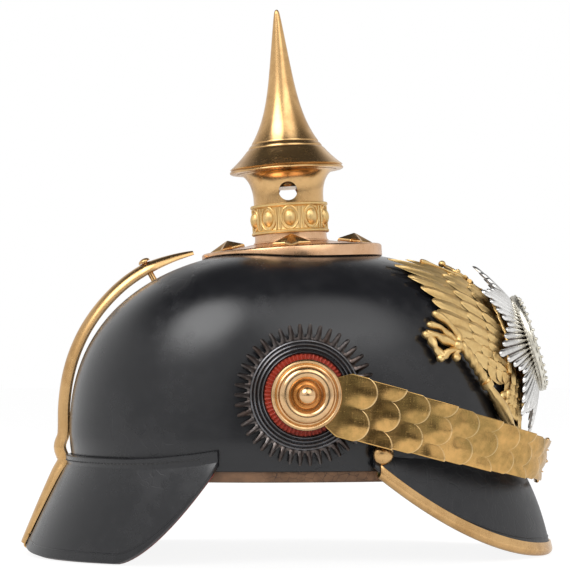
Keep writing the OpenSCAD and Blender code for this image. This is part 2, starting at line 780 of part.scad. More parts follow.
// Place along X of the skull's front at a distance from the middle and a height.
function front_face(y, z) =
    let (n = round_front, f = pow(1 - pow((z - level_z) / dome_h, n), 1 / n),
         across = abs(y) / (skull_w / 2 * f))
    crown_x + f * ((skull_l / 2 + widest_back) * pow(1 - pow(across, round_plan), 1 / round_plan) - widest_back);

module plate_nuts() {
    color(brass)
    each_plate_post() translate([0, 0, -skull_wall - 6.4]) hex_nut(6, 2.4, plate_post_d + 2 * touch_gap);
}

// Eagle plate: cut from sheets that follow the skull's front.
eagle_steps = 26;

module front_sheet(near, far, half_a, low, climb_high, rows) {
    g = [for (i = [0:eagle_steps]) let (a = half_a * (2 * i / eagle_steps - 1))
            concat([skull_at(a, low, near), skull_at(a, level_z, near)],
                   [for (j = [1:rows]) dome_at(a, climb_high * j / rows, near)])];
    sheet(g, 0, far - near);
}

// A feather or leaf from p to q, widest past its middle.
function leaf(p, q, w) =
    let (d = q - p, l = norm(d), e = d / l, n = [-e.y, e.x])
    concat([p + n * w * 0.32], [for (t = [0.3, 0.55, 0.78, 0.92]) p + e * l * t + n * w * [0.5, 0.5, 0.42, 0.26][t < 0.4 ? 0 : t < 0.6 ? 1 : t < 0.8 ? 2 : 3]],
           [q],
           [for (t = [0.92, 0.78, 0.55, 0.3]) p + e * l * t - n * w * [0.5, 0.5, 0.42, 0.26][t < 0.4 ? 0 : t < 0.6 ? 1 : t < 0.8 ? 2 : 3]],
           [p - n * w * 0.32]);

module leaves(roots, tips, w) {
    for (k = [0:len(roots) - 1]) polygon(leaf(roots[k], tips[k], w));
}

// Roots and tips of the wing's feathers on one side: across the plate and up.
wing_roots = [[9, 122], [11, 121], [14, 119], [17, 116], [20, 112], [22, 107], [24, 103], [27, 99], [30, 96],
              [32, 93], [33, 90], [32, 87]];
wing_tips = [[16.7, 144.8], [28.6, 145.2], [37.8, 145.3], [44.6, 141.9], [50, 136.5], [53.2, 131], [55.5, 124.8],
             [58.5, 119.2], [58.6, 113], [55, 106.5], [51.5, 99.8], [46.5, 93.2]];
feather_w = 8.6;

module wing() {
    leaves(wing_roots, wing_tips, feather_w);
    polygon([[8, 86], [20, 88], [34, 86], [34, 92], [26, 104], [20, 116], [12, 123], [6, 124]]);
}

// The staff on each side with the leaves at its top, down to the tail.
staff_top = [60.6, 102.4];
staff_leaves = [[64.3, 112.1], [68.2, 106.5], [67.8, 98.4], [61.8, 96.4], [56.4, 107.6]];

module branch() {
    polygon([[62.5, 103], [57.5, 105], [48.5, 85], [42, 76.5], [33.5, 66.5], [27, 63], [31, 59], [38, 63.5], [46.5, 73.5],
             [53.2, 82.5]]);
    leaves([for (tip = staff_leaves) staff_top], staff_leaves, 6);
}

module tail() {
    for (x = [4, 12, 20]) polygon(leaf([x * 0.6, 82], [x * 1.25, 60], 9));
    polygon([[0, 92], [14, 90], [20, 80], [8, 76], [0, 76]]);
    polygon([[14, 92], [30, 76], [35, 66], [29, 62], [22, 74], [10, 84]]);
}

module crowned_head() {
    polygon([[-8, 118], [8, 118], [7, 126], [5, 131], [10, 133], [5, 136], [8, 139], [9, 145], [5, 143],
             [3, 147], [0, 144], [-3, 147], [-5, 143], [-9, 145], [-8, 139], [-5, 136], [-6, 131], [-7, 126]]);
}

module both_halves() {
    children();
    mirror([1, 0]) children();
}

module sceptre() {
    polygon([[-61, 102], [-58, 104], [-49.5, 84.5], [-42.5, 75.5], [-34.5, 65.5], [-31, 61], [-37, 64.5], [-45.5, 74],
             [-52.2, 83]]);
    translate([-60.6, 102.4]) circle(d = 5.5, $fn = 24);
    translate([-51, 84]) rotate(-30) square([6, 3], center = true);
}

module front_cut() {
    rotate([90, 0, 90]) linear_extrude(160) children();
}

module eagle_plate() {
    near = plate_gap;
    color(gilt)
    difference() {
        union() {
            intersection() {
                front_sheet(near, near + plate_t, 62, level_z - 5, 74, 12);
                front_cut() {
                    both_halves() {
                        wing();
                        tail();
                        branch();
                    }
                    crowned_head();
                    polygon([[-18, 84], [18, 84], [22, 104], [12, 124], [-12, 124], [-22, 104]]);
                }
            }
            intersection() {
                front_sheet(near + plate_t - 0.2, near + plate_t + 2, 62, level_z - 5, 74, 12);
                front_cut() {
                    crowned_head();
                    sceptre();
                    polygon([[-14, 86], [14, 86], [17, 104], [9, 122], [-9, 122], [-17, 104]]);
                }
            }
            for (y = [post_sides[1], post_sides[2]]) at_plate_post(y) translate([0, 0, -skull_wall - post_past])
                cylinder(h = skull_wall + post_past + plate_gap + 1, d = plate_post_d);
        }
        at_plate_post(0) cylinder(h = 60, d = plate_post_d + 2 * hole_gap, center = true);
    }
}

// Guard star: many narrow rays in eight groups, bowed over the plate.
star_wrap = 250;

function star_height(r) = star_rise * (1 - pow(r / (star_d / 2), 1.6));

function star_surface(x, y, h) = [x, y, h + star_height(norm([x, y])) - y * y / (2 * star_wrap)];

function ray_reach(k) =
    let (a = 360 * k / (2 * star_rays), near = abs(((a + 22.5) % 45) - 22.5) / 22.5)
    star_d / 2 * (1 - 0.27 * pow(near, 0.8)) * (k % 2 == 0 ? 1 : 0.94);

function star_ring_points(share, h) =
    [for (k = [0:2 * star_rays - 1]) let (a = 360 * k / (2 * star_rays), r = ray_reach(k) * share, ridge = k % 2 == 0 ? h : h - 0.7)
        star_surface(r * cos(a), r * sin(a), ridge)];

module on_star() {
    translate([star_x, 0, star_z]) rotate([0, 90 - star_tilt, 0]) children();
}

star_t = 1.2;

star_shares = [0.15, 0.45, 0.75, 1];

module guard_star() {
    color(silver) {
        on_star() skin(concat(
            [for (q = star_shares) star_ring_points(q, mixed(0.6, 0.2, q) - star_t)],
            [for (q = [len(star_shares) - 1:-1:0]) star_ring_points(star_shares[q], mixed(0.9, 0.3, star_shares[q]))]));
        at_plate_post(0) translate([0, 0, -skull_wall - post_past])
            cylinder(h = star_back - plate_post_x(0) + skull_wall + post_past, d = plate_post_d);
    }
}

star_back = star_x + (star_rise + 0.2) * cos(star_tilt);

// Medallion: a wreath rim round a plain band and a small rosette.
module star_medallion() {
    r = medal_d / 2;
    z = star_height(medal_d / 2 - 2) + 2.6;
    color(gilt)
    on_star() translate([0, 0, z]) {
        rotate_extrude($fn = 96) polygon([
            [0, medal_rise - 1.4], [r * 0.5, medal_rise - 2.6], [r - 2, -1.6], [r - 0.6, -1.6], [r, -0.8], [r, 0.4],
            [r - 1.2, 1.6], [r - 3, 2], [r - 4.6, 1.4], [r - 5, 1.1], [r - 9, 3.4], [r - 12.5, medal_rise - 2],
            [r - 13, medal_rise - 1.4], [r - 14.2, medal_rise - 1.2], [r - 14.7, medal_rise - 1.4], [0, medal_rise]]);
    }
}

// Cockades and strap bosses: the local axis points outwards, away from the wearer.
chain_bends = [for (i = [0:scales]) mixed(bend_first, bend_last, i / scales)];

function chain_heading(i) = i == 0 ? 0 : total(chain_bends, i - 1);

// The boss stands clear of the skull.
skull_clear = 1.6;
side_y = side_reach(side_x, side_z) + skull_clear;
boss_reach = side_y + strap_lift;

// Distance from one row of scales to the next, so that the two halves meet ahead of the front visor:
// the chain's end is start + pitch * step, and its distance from the boss is known.
function chain_unit(i) = [cos(chain_heading(i)), sin(chain_heading(i))];
chain_start = [end_plate_l, 0] + buckle_l * chain_unit(scales + 1) - [0, strap_lift];
chain_step = [total([for (i = [1:scales]) chain_unit(i).x], scales - 1),
              total([for (i = [1:scales]) chain_unit(i).y], scales - 1)];
strap_reach = front_reach - strap_behind - side_x;
pitch_a = pow(chain_step.x * cos(strap_slope), 2) + pow(chain_step.y, 2);
pitch_b = chain_start.x * chain_step.x * pow(cos(strap_slope), 2) + chain_start.y * chain_step.y;
pitch_c = pow(chain_start.x * cos(strap_slope), 2) + pow(chain_start.y, 2) - pow(side_y, 2) - pow(strap_reach, 2);
scale_pitch = (sqrt(pitch_b * pitch_b - pitch_a * pitch_c) - pitch_b) / pitch_a;

// Hinge i of the strap, in the strap's own plane: forward and inward.
function chain_point(i) =
    i == 0 ? [0, 0]
    : i == 1 ? [end_plate_l, 0]
    : chain_point(i - 1) + (i == scales + 2 ? buckle_l : scale_pitch)
        * [cos(chain_heading(i - 1)), sin(chain_heading(i - 1))];

chain_end = chain_point(scales + 2);

// The strap's yaw brings both halves together at the front.
chain_run = chain_end.x * cos(strap_slope);
side_yaw = asin(side_y / norm([chain_run, chain_end.y - strap_lift])) - atan2(chain_end.y - strap_lift, chain_run);

module on_side(side) {
    if (side == "left") mirror([0, 1, 0]) translate([side_x, -side_y, side_z]) rotate([90, 0, side_yaw]) children();
    else translate([side_x, -side_y, side_z]) rotate([90, 0, side_yaw]) children();
}

module each_side() {
    for (side = SIDES) on_side(side) children();
}

boss_post_d = 5;
hub_d = 11;

module cockade_outer(side) {
    r = cockade_d / 2;
    color(dark_silver)
    on_side(side) difference() {
        linear_extrude(cockade_t) polygon([for (k = [0:2 * cockade_teeth - 1])
            let (q = k % 2 == 0 ? r : r - 2.4, a = 180 * k / cockade_teeth) [q * cos(a), q * sin(a)]]);
        translate([0, 0, -1]) cylinder(h = 5, d = boss_post_d + 2 * hole_gap);
    }
}

module cockade_ring(side) {
    r = cockade_ring_d / 2;
    q = cockade_core_d / 2;
    z = cockade_t + touch_gap;
    color(silver)
    on_side(side) rotate_extrude($fn = 96) polygon([
        [q + 0.1, z], [r, z], [r, z + 0.7], [r - 0.8, z + 1.3], [r - 1.6, z + 0.8], [r - 2.2, z + 1.5],
        [r - 3, z + 0.9], [r - 3.7, z + 1.6], [q + 1.4, z + 1], [q + 0.7, z + 1.8], [q + 0.1, z + 1.6]]);
}

module cockade_core(side) {
    r = cockade_core_d / 2 - 0.1;
    z = cockade_t + touch_gap;
    top = strap_lift - seat_gap;
    color(side == "right" ? red_leather : black_leather)
    on_side(side) rotate_extrude($fn = 96) polygon([
        [boss_post_d / 2 + hole_gap, z], [r, z], [r, z + 1], [r - 4, z + 2.2], [hub_d / 2 + 1, z + 2.8],
        [hub_d / 2, z + 3.2], [hub_d / 2, top], [boss_post_d / 2 + hole_gap, top]]);
}

module boss(side) {
    r = boss_d / 2;
    z = strap_lift + scale_t + seat_gap;
    h = boss_h;
    tube = r * 0.2;
    color(gilt)
    on_side(side) {
        rotate_extrude($fn = 96) polygon(concat(
            [[0, z], [r - 0.6, z], [r, z + 0.8], [r - 0.5, z + 1.9], [r - 1.6, z + 2.1], [r - 2.4, z + 1.4]],
            [for (t = [0:30:180]) [r * 0.62 + tube * cos(t), z + 1.9 + tube * sin(t)]],
            [[r * 0.4, z + 1.8], [r * 0.34, z + 3], [r * 0.3, z + 2.4]],
            [for (t = [30:20:90]) [r * 0.29 * cos(t), z + h - r * 0.29 + r * 0.29 * sin(t)]]));
        translate([0, 0, boss_tail]) cylinder(h = z - boss_tail + 1, d = boss_post_d);
    }
}

boss_tail = -skull_clear - skull_wall - 5.2;

module boss_washers() {
    color(brass) each_side() translate([0, 0, -skull_clear - skull_wall - 1.8]) ring(0.8, 11, boss_post_d + 2 * hole_gap);
}

module boss_nuts() {
    color(brass) each_side() translate([0, 0, -skull_clear - skull_wall - 4.5])
        hex_nut(8, 2.6, boss_post_d + 2 * touch_gap);
}

// The strap's own frame: x runs forward along the strap, y up across it, z outwards.
module on_strap(side) {
    on_side(side) translate([0, 0, strap_lift]) rotate([0, 0, -strap_slope]) children();
}

module on_link(side, i) {
    p = chain_point(i);
    on_strap(side) translate([p.x, 0, -p.y]) rotate([0, chain_heading(i), 0]) children();
}

function strap_width(i) = mixed(strap_w_rear, strap_w_front, i / scales);

// Front edge of a row of scales: two full lobes, or one full lobe between two halves.
module lobes(w, l, split) {
    r = w / 4 + 0.2;
    intersection() {
        union() {
            for (y = split ? [-w / 4, w / 4] : [-w / 2, 0, w / 2]) translate([l - r, y]) circle(r);
            translate([-20, -w / 2]) square([20 + l - r, w]);
        }
        translate([-20, -w / 2]) square([20 + l, w]);
    }
}

module end_plate(side) {
    w = strap_w_rear;
    color(brass)
    on_strap(side) difference() {
        linear_extrude(scale_t) union() {
            circle(d = w * 0.92);
            intersection() {
                lobes(w, end_plate_l, true);
                polygon([[0, -w * 0.3], [w * 0.35, -w * 0.36], [w * 0.6, -w / 2], [60, -w / 2], [60, w / 2], [w * 0.6, w / 2],
                         [w * 0.35, w * 0.36], [0, w * 0.3]]);
            }
        }
        translate([0, 0, -1]) cylinder(h = 4, d = boss_post_d + 2 * hole_gap);
    }
}

// Side view of a scale: a tucked head, a bend at the hinge and a tail that rides up over the next head.
module scale_profile(w, bend) {
    step = scale_t + scale_gap;
    rise = atan(step / scale_pitch);
    back = i_back(bend, rise);
    rotate([90, 0, 0]) linear_extrude(w, center = true)
        polygon([[back.x, back.y - step], [0, -step], [scale_pitch, 0], [scale_pitch, scale_t], [0, -scale_gap],
                 [back.x, back.y - scale_gap]]);
}

function i_back(bend, rise) = -scale_tuck * [cos(bend + rise), sin(bend + rise)];

module scale(side, i) {
    w = strap_width(i);
    first = i == 1 ? atan((scale_t + scale_gap) / scale_pitch) : 0;
    color(brass)
    on_link(side, i) intersection() {
        scale_profile(w, chain_bends[i - 1] - first);
        translate([0, 0, -10]) linear_extrude(20) lobes(w, scale_pitch, i % 2 == 0);
    }
}

// Leather behind the scales, from the end plate to the buckle.
leather_gap = 0.35;

function leather_ring(i) =
    let (p = i > scales + 1 ? chain_point(scales + 1) : chain_point(max(i, 1)),
         h0 = chain_heading(max(i - 1, 0)), h1 = chain_heading(min(i, scales + 1)), h = (h0 + h1) / 2,
         start = i == 0 ? [boss_d * 0.42, 0] : p,
         w = (i == 0 ? strap_w_rear * 0.7 : strap_width(min(i, scales))) / 2 - 1,
         step = i == 0 ? leather_gap : scale_t + scale_gap * 2 + 0.55,
         along = [cos(h), sin(h)], in = [sin(h), -cos(h)])
    [for (q = [[w, step], [w, step + strap_t], [-w, step + strap_t], [-w, step]])
        [start.x - in.x * q.y, q.x, -start.y + in.y * q.y]];

module strap_leather(side) {
    color(brown_leather)
    on_strap(side) skin([for (i = [0:scales]) leather_ring(i)]);
}

// Buckle end of the right half: a chape plate and an open wire frame, with a prong on its near bar.
frame_l = 15;
chape_w = strap_w_front - 2;
frame_w = strap_w_front + 3;
prong_w = 3;
mid_gap = 0.4;
plate_step = scale_t + scale_gap;
frame_far = buckle_l - mid_gap - wire_d / 2;
frame_near = frame_far - frame_l;
wire_z = wire_d / 2 - plate_step;

// Side outline of a plate whose head tucks under the last scale.
function tucked(l, low, high) =
    let (back = i_back(chain_bends[scales], atan(plate_step / scale_pitch)))
    [[back.x, back.y + low], [0, low], [l, low], [l, low + scale_t], [0, high], [back.x, back.y + high]];

module at_buckle() {
    on_link("right", scales + 1) children();
}

module wire(p, q) {
    d = q - p;
    translate(p) rotate([0, 0, atan2(d.y, d.x)]) rotate([0, 90, 0]) cylinder(h = norm(d), d = wire_d, $fn = 32);
}

module buckle() {
    y = frame_w / 2 - wire_d / 2;
    corners = [[frame_near, -y, wire_z], [frame_far, -y, wire_z], [frame_far, y, wire_z], [frame_near, y, wire_z]];
    color(brass)
    at_buckle() {
        difference() {
            rotate([90, 0, 0]) linear_extrude(chape_w, center = true)
                polygon(tucked(frame_near, -plate_step, -scale_gap));
            translate([frame_near - wire_d * 1.6, -prong_w / 2 - seat_gap, -10]) cube([20, prong_w + 2 * seat_gap, 20]);
        }
        for (k = [0:3]) {
            wire(corners[k], corners[(k + 1) % 4]);
            translate(corners[k]) sphere(d = wire_d, $fn = 32);
        }
    }
}

prong_clear = 0.1;

module buckle_prong() {
    hub = wire_d + 2 * prong_clear;
    color(brass)
    at_buckle() translate([frame_near, 0, wire_z]) rotate([90, 0, 0]) linear_extrude(prong_w, center = true)
    difference() {
        union() {
            circle(d = hub + 1.8, $fn = 48);
            translate([0, wire_d / 2 + prong_clear]) square([frame_l + wire_d / 2, 0.9]);
        }
        circle(d = hub, $fn = 48);
    }
}

module billet() {
    l = buckle_l - mid_gap;
    color(brown_leather)
    on_link("left", scales + 1) rotate([90, 0, 0]) linear_extrude(chape_w, center = true)
        polygon(tucked(l, -plate_step - 0.5, -scale_gap));
}

skull();
sweatband();
liner();
front_visor();
front_visor_lining();
rear_visor();
rear_visor_lining();
front_trim();
trim_studs();
spine();
spine_stud();
base_plate();
star_studs();
stud_washers();
stud_nuts();
spike_neck();
pearl_ring();
neck_socket();
spike();
eagle_plate();
guard_star();
star_medallion();
plate_nuts();
boss_washers();
boss_nuts();
buckle();
buckle_prong();
billet();
for (side = SIDES) {
    cockade_outer(side);
    cockade_ring(side);
    cockade_core(side);
    boss(side);
    end_plate(side);
    strap_leather(side);
    for (i = [1:scales]) {
        scale(side, i);
    }
}
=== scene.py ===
"""Spiked military helmet of lacquered leather: its shapes and finishes, in metres."""
import math

import bpy
from mathutils import Matrix, Vector


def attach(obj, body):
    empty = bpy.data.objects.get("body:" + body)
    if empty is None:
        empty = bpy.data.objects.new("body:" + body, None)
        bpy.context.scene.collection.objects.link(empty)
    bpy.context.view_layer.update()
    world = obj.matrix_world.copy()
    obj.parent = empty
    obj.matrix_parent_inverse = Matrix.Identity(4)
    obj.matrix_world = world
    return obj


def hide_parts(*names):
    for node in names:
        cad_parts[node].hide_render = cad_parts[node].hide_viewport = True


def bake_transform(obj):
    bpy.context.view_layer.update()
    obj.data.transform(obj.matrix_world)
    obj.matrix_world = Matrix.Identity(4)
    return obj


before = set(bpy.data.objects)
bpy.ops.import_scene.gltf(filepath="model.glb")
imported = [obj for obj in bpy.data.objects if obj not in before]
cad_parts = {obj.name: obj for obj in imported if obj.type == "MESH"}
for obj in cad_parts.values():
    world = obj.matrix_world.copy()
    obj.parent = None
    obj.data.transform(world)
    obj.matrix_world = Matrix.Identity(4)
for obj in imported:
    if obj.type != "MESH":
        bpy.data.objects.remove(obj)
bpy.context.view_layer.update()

MM = 0.001
TURN = 2 * math.pi
rad = math.radians

# Sizes of the helmet in millimetres. +x is the front, +y the wearer's left and +z up.
SKULL_LONG = 221.3
SKULL_WIDE = 176.0
SKULL_TALL = 106.0
LEVEL_TALL = 16.0
WIDEST_BACK = 18.5
SKULL_WALL = 2.8
ROUND_FRONT = 2.8
ROUND_SIDE = 3.0
ROUND_REAR = 2.3
ROUND_PLAN = 2.1
EDGE_DRAW = 0.02
CROWN_X = 3.5
CROWN_LEAN = 3.6
STAR_X = 107.017
STAR_Z = 99.7
STAR_LEAN = 17.5
STAR_R = 45.0
STAR_RAYS = 64
EDGE_Z = 44.0
LEVEL_Z = EDGE_Z + LEVEL_TALL
DOME_TALL = SKULL_TALL - LEVEL_TALL
APEX_Z = EDGE_Z + SKULL_TALL
HEM_Z = EDGE_Z - 5.3
BAND_TOP = HEM_Z + 52
VISOR_WALL = 2.6
LINING_WALL = 0.8
VISOR_SEAT = 0.4
FRONT_REACH = 129.3
FRONT_HALF = 87.0
FRONT_CORNER_X = 41.0
REAR_REACH = 126.3
REAR_HALF = 87.5
REAR_CORNER_X = 31.0
REAR_RIM_Z = 0.45
BASE_Z = APEX_Z - 2.2
BASE_TOP = 6.2
NECK_R = 18.5
NECK_Z = BASE_TOP + 0.1
PEARL_Z = NECK_Z + 4.6
TRUMPET_Z = PEARL_Z + 15.0
TRUMPET_TALL = 16.0
MOUTH_Z = TRUMPET_Z + TRUMPET_TALL
VENT_R = 4.6
FLANGE_R = 28.5
SPIKE_Z = MOUTH_Z + 0.1
SPIKE_TALL = 82.0
COCKADE_X, COCKADE_Z = 9.2, 79.6
COCKADE_YAW = 5.166
BLADES = 42
STRAP_LIFT = 6.5
STRAP_SLOPE = 15
SCALE_WALL = 0.7
SCALE_TUCK = 4.5
SCALE_STEP = SCALE_WALL + 0.35
PITCH = 13.0
LINKS = 9
END_LONG = 32.0
END_WIDE = 30.0
BUCKLE_LONG = 29.0


def mixed(a, b, t):
    return a + (b - a) * t


def held(t):
    return min(1.0, max(0.0, t))


def sign(t):
    return -1.0 if t < 0 else 1.0


def polar(r, a, z=0.0):
    return Vector((r * math.cos(a), r * math.sin(a), z))


def arc(x, y, wide, tall, angles):
    """Points of an arc round (x, y), at angles in degrees."""
    return [(x + wide * math.cos(rad(t)), y + tall * math.sin(rad(t))) for t in angles]


def raised(points, z):
    return [(r, high + z) for r, high in points]


def moved(x, y, z):
    return Matrix.Translation((x, y, z))


def spun(angle, axis):
    return Matrix.Rotation(angle, 4, axis)


def along_line(points, t):
    """The point a share t of the way along a list of points, counted by index."""
    s = held(t) * (len(points) - 1)
    i = min(int(s), len(points) - 2)
    return tuple(mixed(a, b, s - i) for a, b in zip(points[i], points[i + 1]))


def flowing(points, steps=4):
    """A smooth line through points."""
    points = [Vector(p) for p in points]
    line = []
    for i in range(len(points) - 1):
        a, b, c, d = points[max(i - 1, 0)], points[i], points[i + 1], points[min(i + 2, len(points) - 1)]
        for k in range(steps):
            t = k / steps
            line.append(0.5 * (2 * b + (c - a) * t + (2 * a - 5 * b + 4 * c - d) * t * t
                               + (3 * b - a - 3 * c + d) * t ** 3))
    return line + [points[-1]]


# Surface of the skull. Angles go round from the front, and out is the distance off the outside.
def half_long(way):
    return SKULL_LONG / 2 + sign(way) * WIDEST_BACK


def edge_share(z):
    """How far the skull is drawn in below its level line."""
    return 1 - EDGE_DRAW * ((LEVEL_Z - z) / LEVEL_TALL) ** 2


def plan_point(a, out):
    c, s = math.cos(a), math.sin(a)
    return (
        sign(c) * (half_long(c) + out) * abs(c) ** (2 / ROUND_PLAN) - WIDEST_BACK,
        sign(s) * (SKULL_WIDE / 2 + out) * abs(s) ** (2 / ROUND_PLAN),
    )


def roundness(a):
    c = math.cos(a)
    return mixed(ROUND_SIDE, ROUND_FRONT if c > 0 else ROUND_REAR, c * c)


def skull_at(a, z, out):
    """A point of the skull at a height."""
    px, py = plan_point(a, out)
    n = roundness(a)
    if z > LEVEL_Z:
        share = max(0.0, 1 - ((z - LEVEL_Z) / (DOME_TALL + out)) ** n) ** (1 / n)
    else:
        share = edge_share(z)
    return Vector((CROWN_X + px * share, py * share, z))


def dome_at(a, climb, out):
    """A point of the dome, where climb grows from 0 at the level line to a quarter turn at the top."""
    px, py = plan_point(a, out)
    power = 2 / roundness(a)
    share = max(0.0, math.cos(climb)) ** power
    rise = (DOME_TALL + out) * max(0.0, math.sin(climb)) ** power
    return Vector((CROWN_X + px * share, py * share, LEVEL_Z + rise))


def side_reach(x, z):
    """How far the skull's side lies from the middle plane."""
    p = x - CROWN_X + WIDEST_BACK
    share = (1 - (abs(p) / half_long(p)) ** ROUND_PLAN) ** (1 / ROUND_PLAN)
    if z > LEVEL_Z:
        tall = (1 - ((z - LEVEL_Z) / DOME_TALL) ** ROUND_SIDE) ** (1 / ROUND_SIDE)
    else:
        tall = edge_share(z)
    return SKULL_WIDE / 2 * share * tall


def azimuth_at(x):
    p = x - CROWN_X + WIDEST_BACK
    return math.acos(sign(p) * (abs(p) / half_long(p)) ** (ROUND_PLAN / 2))


# Making pieces.
def clear_choice():
    bpy.ops.object.select_all(action="DESELECT")


def only(piece):
    clear_choice()
    piece.select_set(True)
    bpy.context.view_layer.objects.active = piece


def edit_all(piece, action, **settings):
    only(piece)
    bpy.ops.object.mode_set(mode="EDIT")
    bpy.ops.mesh.select_all(action="SELECT")
    action(**settings)
    bpy.ops.object.mode_set(mode="OBJECT")


def formed(name, columns, rows, place, closed=True):
    """A grid whose points go where place(u, v) says, in millimetres, with its seams closed."""
    clear_choice()
    bpy.ops.mesh.primitive_grid_add(x_subdivisions=columns, y_subdivisions=rows, size=1)
    piece = bpy.context.active_object
    piece.name = name
    for point in piece.data.vertices:
        point.co = Vector(place(held(point.co.x + 0.5), held(point.co.y + 0.5))) * MM
    if closed:
        edit_all(piece, bpy.ops.mesh.remove_doubles, threshold=0.004 * MM)
    return piece


def apply_modifier(piece, kind, **settings):
    only(piece)
    modifier = piece.modifiers.new(kind.title(), kind)
    for key, value in settings.items():
        setattr(modifier, key, value)
    bpy.ops.object.modifier_apply(modifier=modifier.name)


def walled(piece, wall, side=-1.0, even=True):
    apply_modifier(piece, "SOLIDIFY", thickness=wall * MM, offset=side, use_even_offset=even)
    return piece


def eased(piece, width, parts=2, angle=35):
    """Rounds the edges that are sharper than an angle in degrees."""
    apply_modifier(
        piece, "BEVEL", width=width * MM, segments=parts, limit_method="ANGLE", angle_limit=rad(angle)
    )
    return piece


def joined(name, parts):
    clear_choice()
    for part in parts:
        part.select_set(True)
    bpy.context.view_layer.objects.active = parts[0]
    if len(parts) > 1:
        bpy.ops.object.join()
    parts[0].name = name
    return parts[0]


def turned(name, profile, place, steps=128, closed_profile=False):
    """A profile of (radius, height) points spun round the local z axis, then put in place."""
    line = profile + [profile[0]] if closed_profile else profile

    def at(u, v):
        r, z = along_line(line, v)
        return place @ polar(r, TURN * u, z)

    return formed(name, steps, len(line) - 1, at)


def ball(name, place, sizes, rows=14, columns=24):
    clear_choice()
    bpy.ops.mesh.primitive_uv_sphere_add(segments=columns, ring_count=rows, radius=1)
    piece = bpy.context.active_object
    piece.name = name
    spread = place @ Matrix.Diagonal((*sizes, 1))
    for point in piece.data.vertices:
        point.co = (spread @ point.co) * MM
    return piece


def rod(name, line, radius, sides=12, looped=False, up=(0, 0, 1)):
    """A round bar along a line of points. Its radius is a number or a rule of the share and the angle."""
    line = [Vector(p) for p in line]
    count = len(line)
    rows = count if looped else count + 1

    def at(u, v):
        row = round(v * rows)
        i = row % count if looped else min(max(row - 1, 0), count - 1)
        before = line[i - 1] if looped or i > 0 else line[i]
        after = line[(i + 1) % count] if looped or i < count - 1 else line[i]
        way = (after - before).normalized()
        side = way.cross(Vector(up)).normalized()
        a = TURN * u
        r = radius(i / (count - 1), a) if callable(radius) else radius
        if not looped and row in (0, rows):
            r = 0
        return line[i] + (side * math.cos(a) + side.cross(way) * math.sin(a)) * r

    return formed(name, sides, rows, at)


def flip_side(piece):
    """Mirrors a piece to the other side of the helmet."""
    for point in piece.data.vertices:
        point.co.y = -point.co.y
    edit_all(piece, bpy.ops.mesh.flip_normals)


def mirrored(piece, name):
    only(piece)
    bpy.ops.object.duplicate()
    twin = bpy.context.active_object
    twin.name = name
    flip_side(twin)
    return twin


def finished(piece, finish, angle):
    """Gives a piece its material and its shading, smooth below an angle in degrees."""
    only(piece)
    piece.data.materials.clear()
    piece.data.materials.append(finish)
    bpy.ops.object.shade_smooth_by_angle(angle=rad(angle))


def shown(piece, finish, node, angle=38, body="helmet"):
    """Finishes a piece, hides the node it stands for and hangs it on the body it rides on."""
    finished(piece, finish, angle)
    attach(piece, body)
    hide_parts(node)


def shown_twice(piece, finish, node, angle, body="helmet", left_finish=None):
    """Shows a piece of the right side and its mirror image on the left."""
    def left(word):
        return word.replace("right", "left")

    twin = mirrored(piece, left(piece.name))
    shown(piece, finish, node, angle, body)
    shown(twin, left_finish or finish, left(node), angle, left(body))


# Effects that several finishes share.
class Graph:
    """The nodes of a material, an effect or the room, and the links between them."""

    def __init__(self, tree):
        self.nodes = tree.nodes
        self.links = tree.links

    def feed(self, socket, value):
        if isinstance(value, bpy.types.NodeSocket):
            self.links.new(value, socket)
        else:
            socket.default_value = value

    def add(self, kind, inputs=None, **settings):
        node = self.nodes.new("ShaderNode" + kind)
        for key, value in settings.items():
            setattr(node, key, value)
        for key, value in (inputs or {}).items():
            self.feed(node.inputs[key], value)
        return node

    def math(self, operation, a, b, clamp=False):
        return self.add("Math", {0: a, 1: b}, operation=operation, use_clamp=clamp).outputs[0]

    def times(self, a, b, clamp=False):
        return self.math("MULTIPLY", a, b, clamp)

    def weighed(self, a, share, b):
        """Two masks added, the first by a share and the second by the rest."""
        return self.math("ADD", self.times(a, share), self.times(b, round(1 - share, 4)))

    def noise(self, place, scale, detail=3.0, rough=0.55):
        inputs = {"Vector": place, "Scale": scale, "Detail": detail, "Roughness": rough}
        return self.add("TexNoise", inputs).outputs["Fac"]

    def stretched(self, place, scale):
        return self.add("Mapping", {"Vector": place, "Scale": scale}).outputs["Vector"]

    def ranged(self, value, low, high, to_low=0.0, to_high=1.0):
        inputs = {"Value": value, "From Min": low, "From Max": high, "To Min": to_low, "To Max": to_high}
        return self.add("MapRange", inputs, interpolation_type="SMOOTHSTEP").outputs["Result"]

    def blended(self, share, a, b):
        return self.add("Mix", {6: a, 7: b, "Factor": share}, data_type="RGBA").outputs[2]

    def chosen(self, share, a, b):
        return self.add("Mix", {2: a, 3: b, "Factor": share}, data_type="FLOAT").outputs[0]

    def toward(self, place, way):
        """How near a direction is to a given one."""
        inputs = {0: place, 1: Vector(way).normalized()}
        return self.add("VectorMath", inputs, operation="DOT_PRODUCT").outputs["Value"]

    def placed(self, group, place, **values):
        inputs = {"Vector": place, **values}
        return self.add("Group", inputs, node_tree=group).outputs

    def bumped(self, height, strength, distance, normal=None):
        inputs = {"Strength": strength, "Distance": distance * MM, "Height": height}
        if normal is not None:
            inputs["Normal"] = normal
        return self.add("Bump", inputs).outputs["Normal"]


FLOAT = "NodeSocketFloat"
COLOUR = "NodeSocketColor"
PLACE = ("Vector", "NodeSocketVector", None)


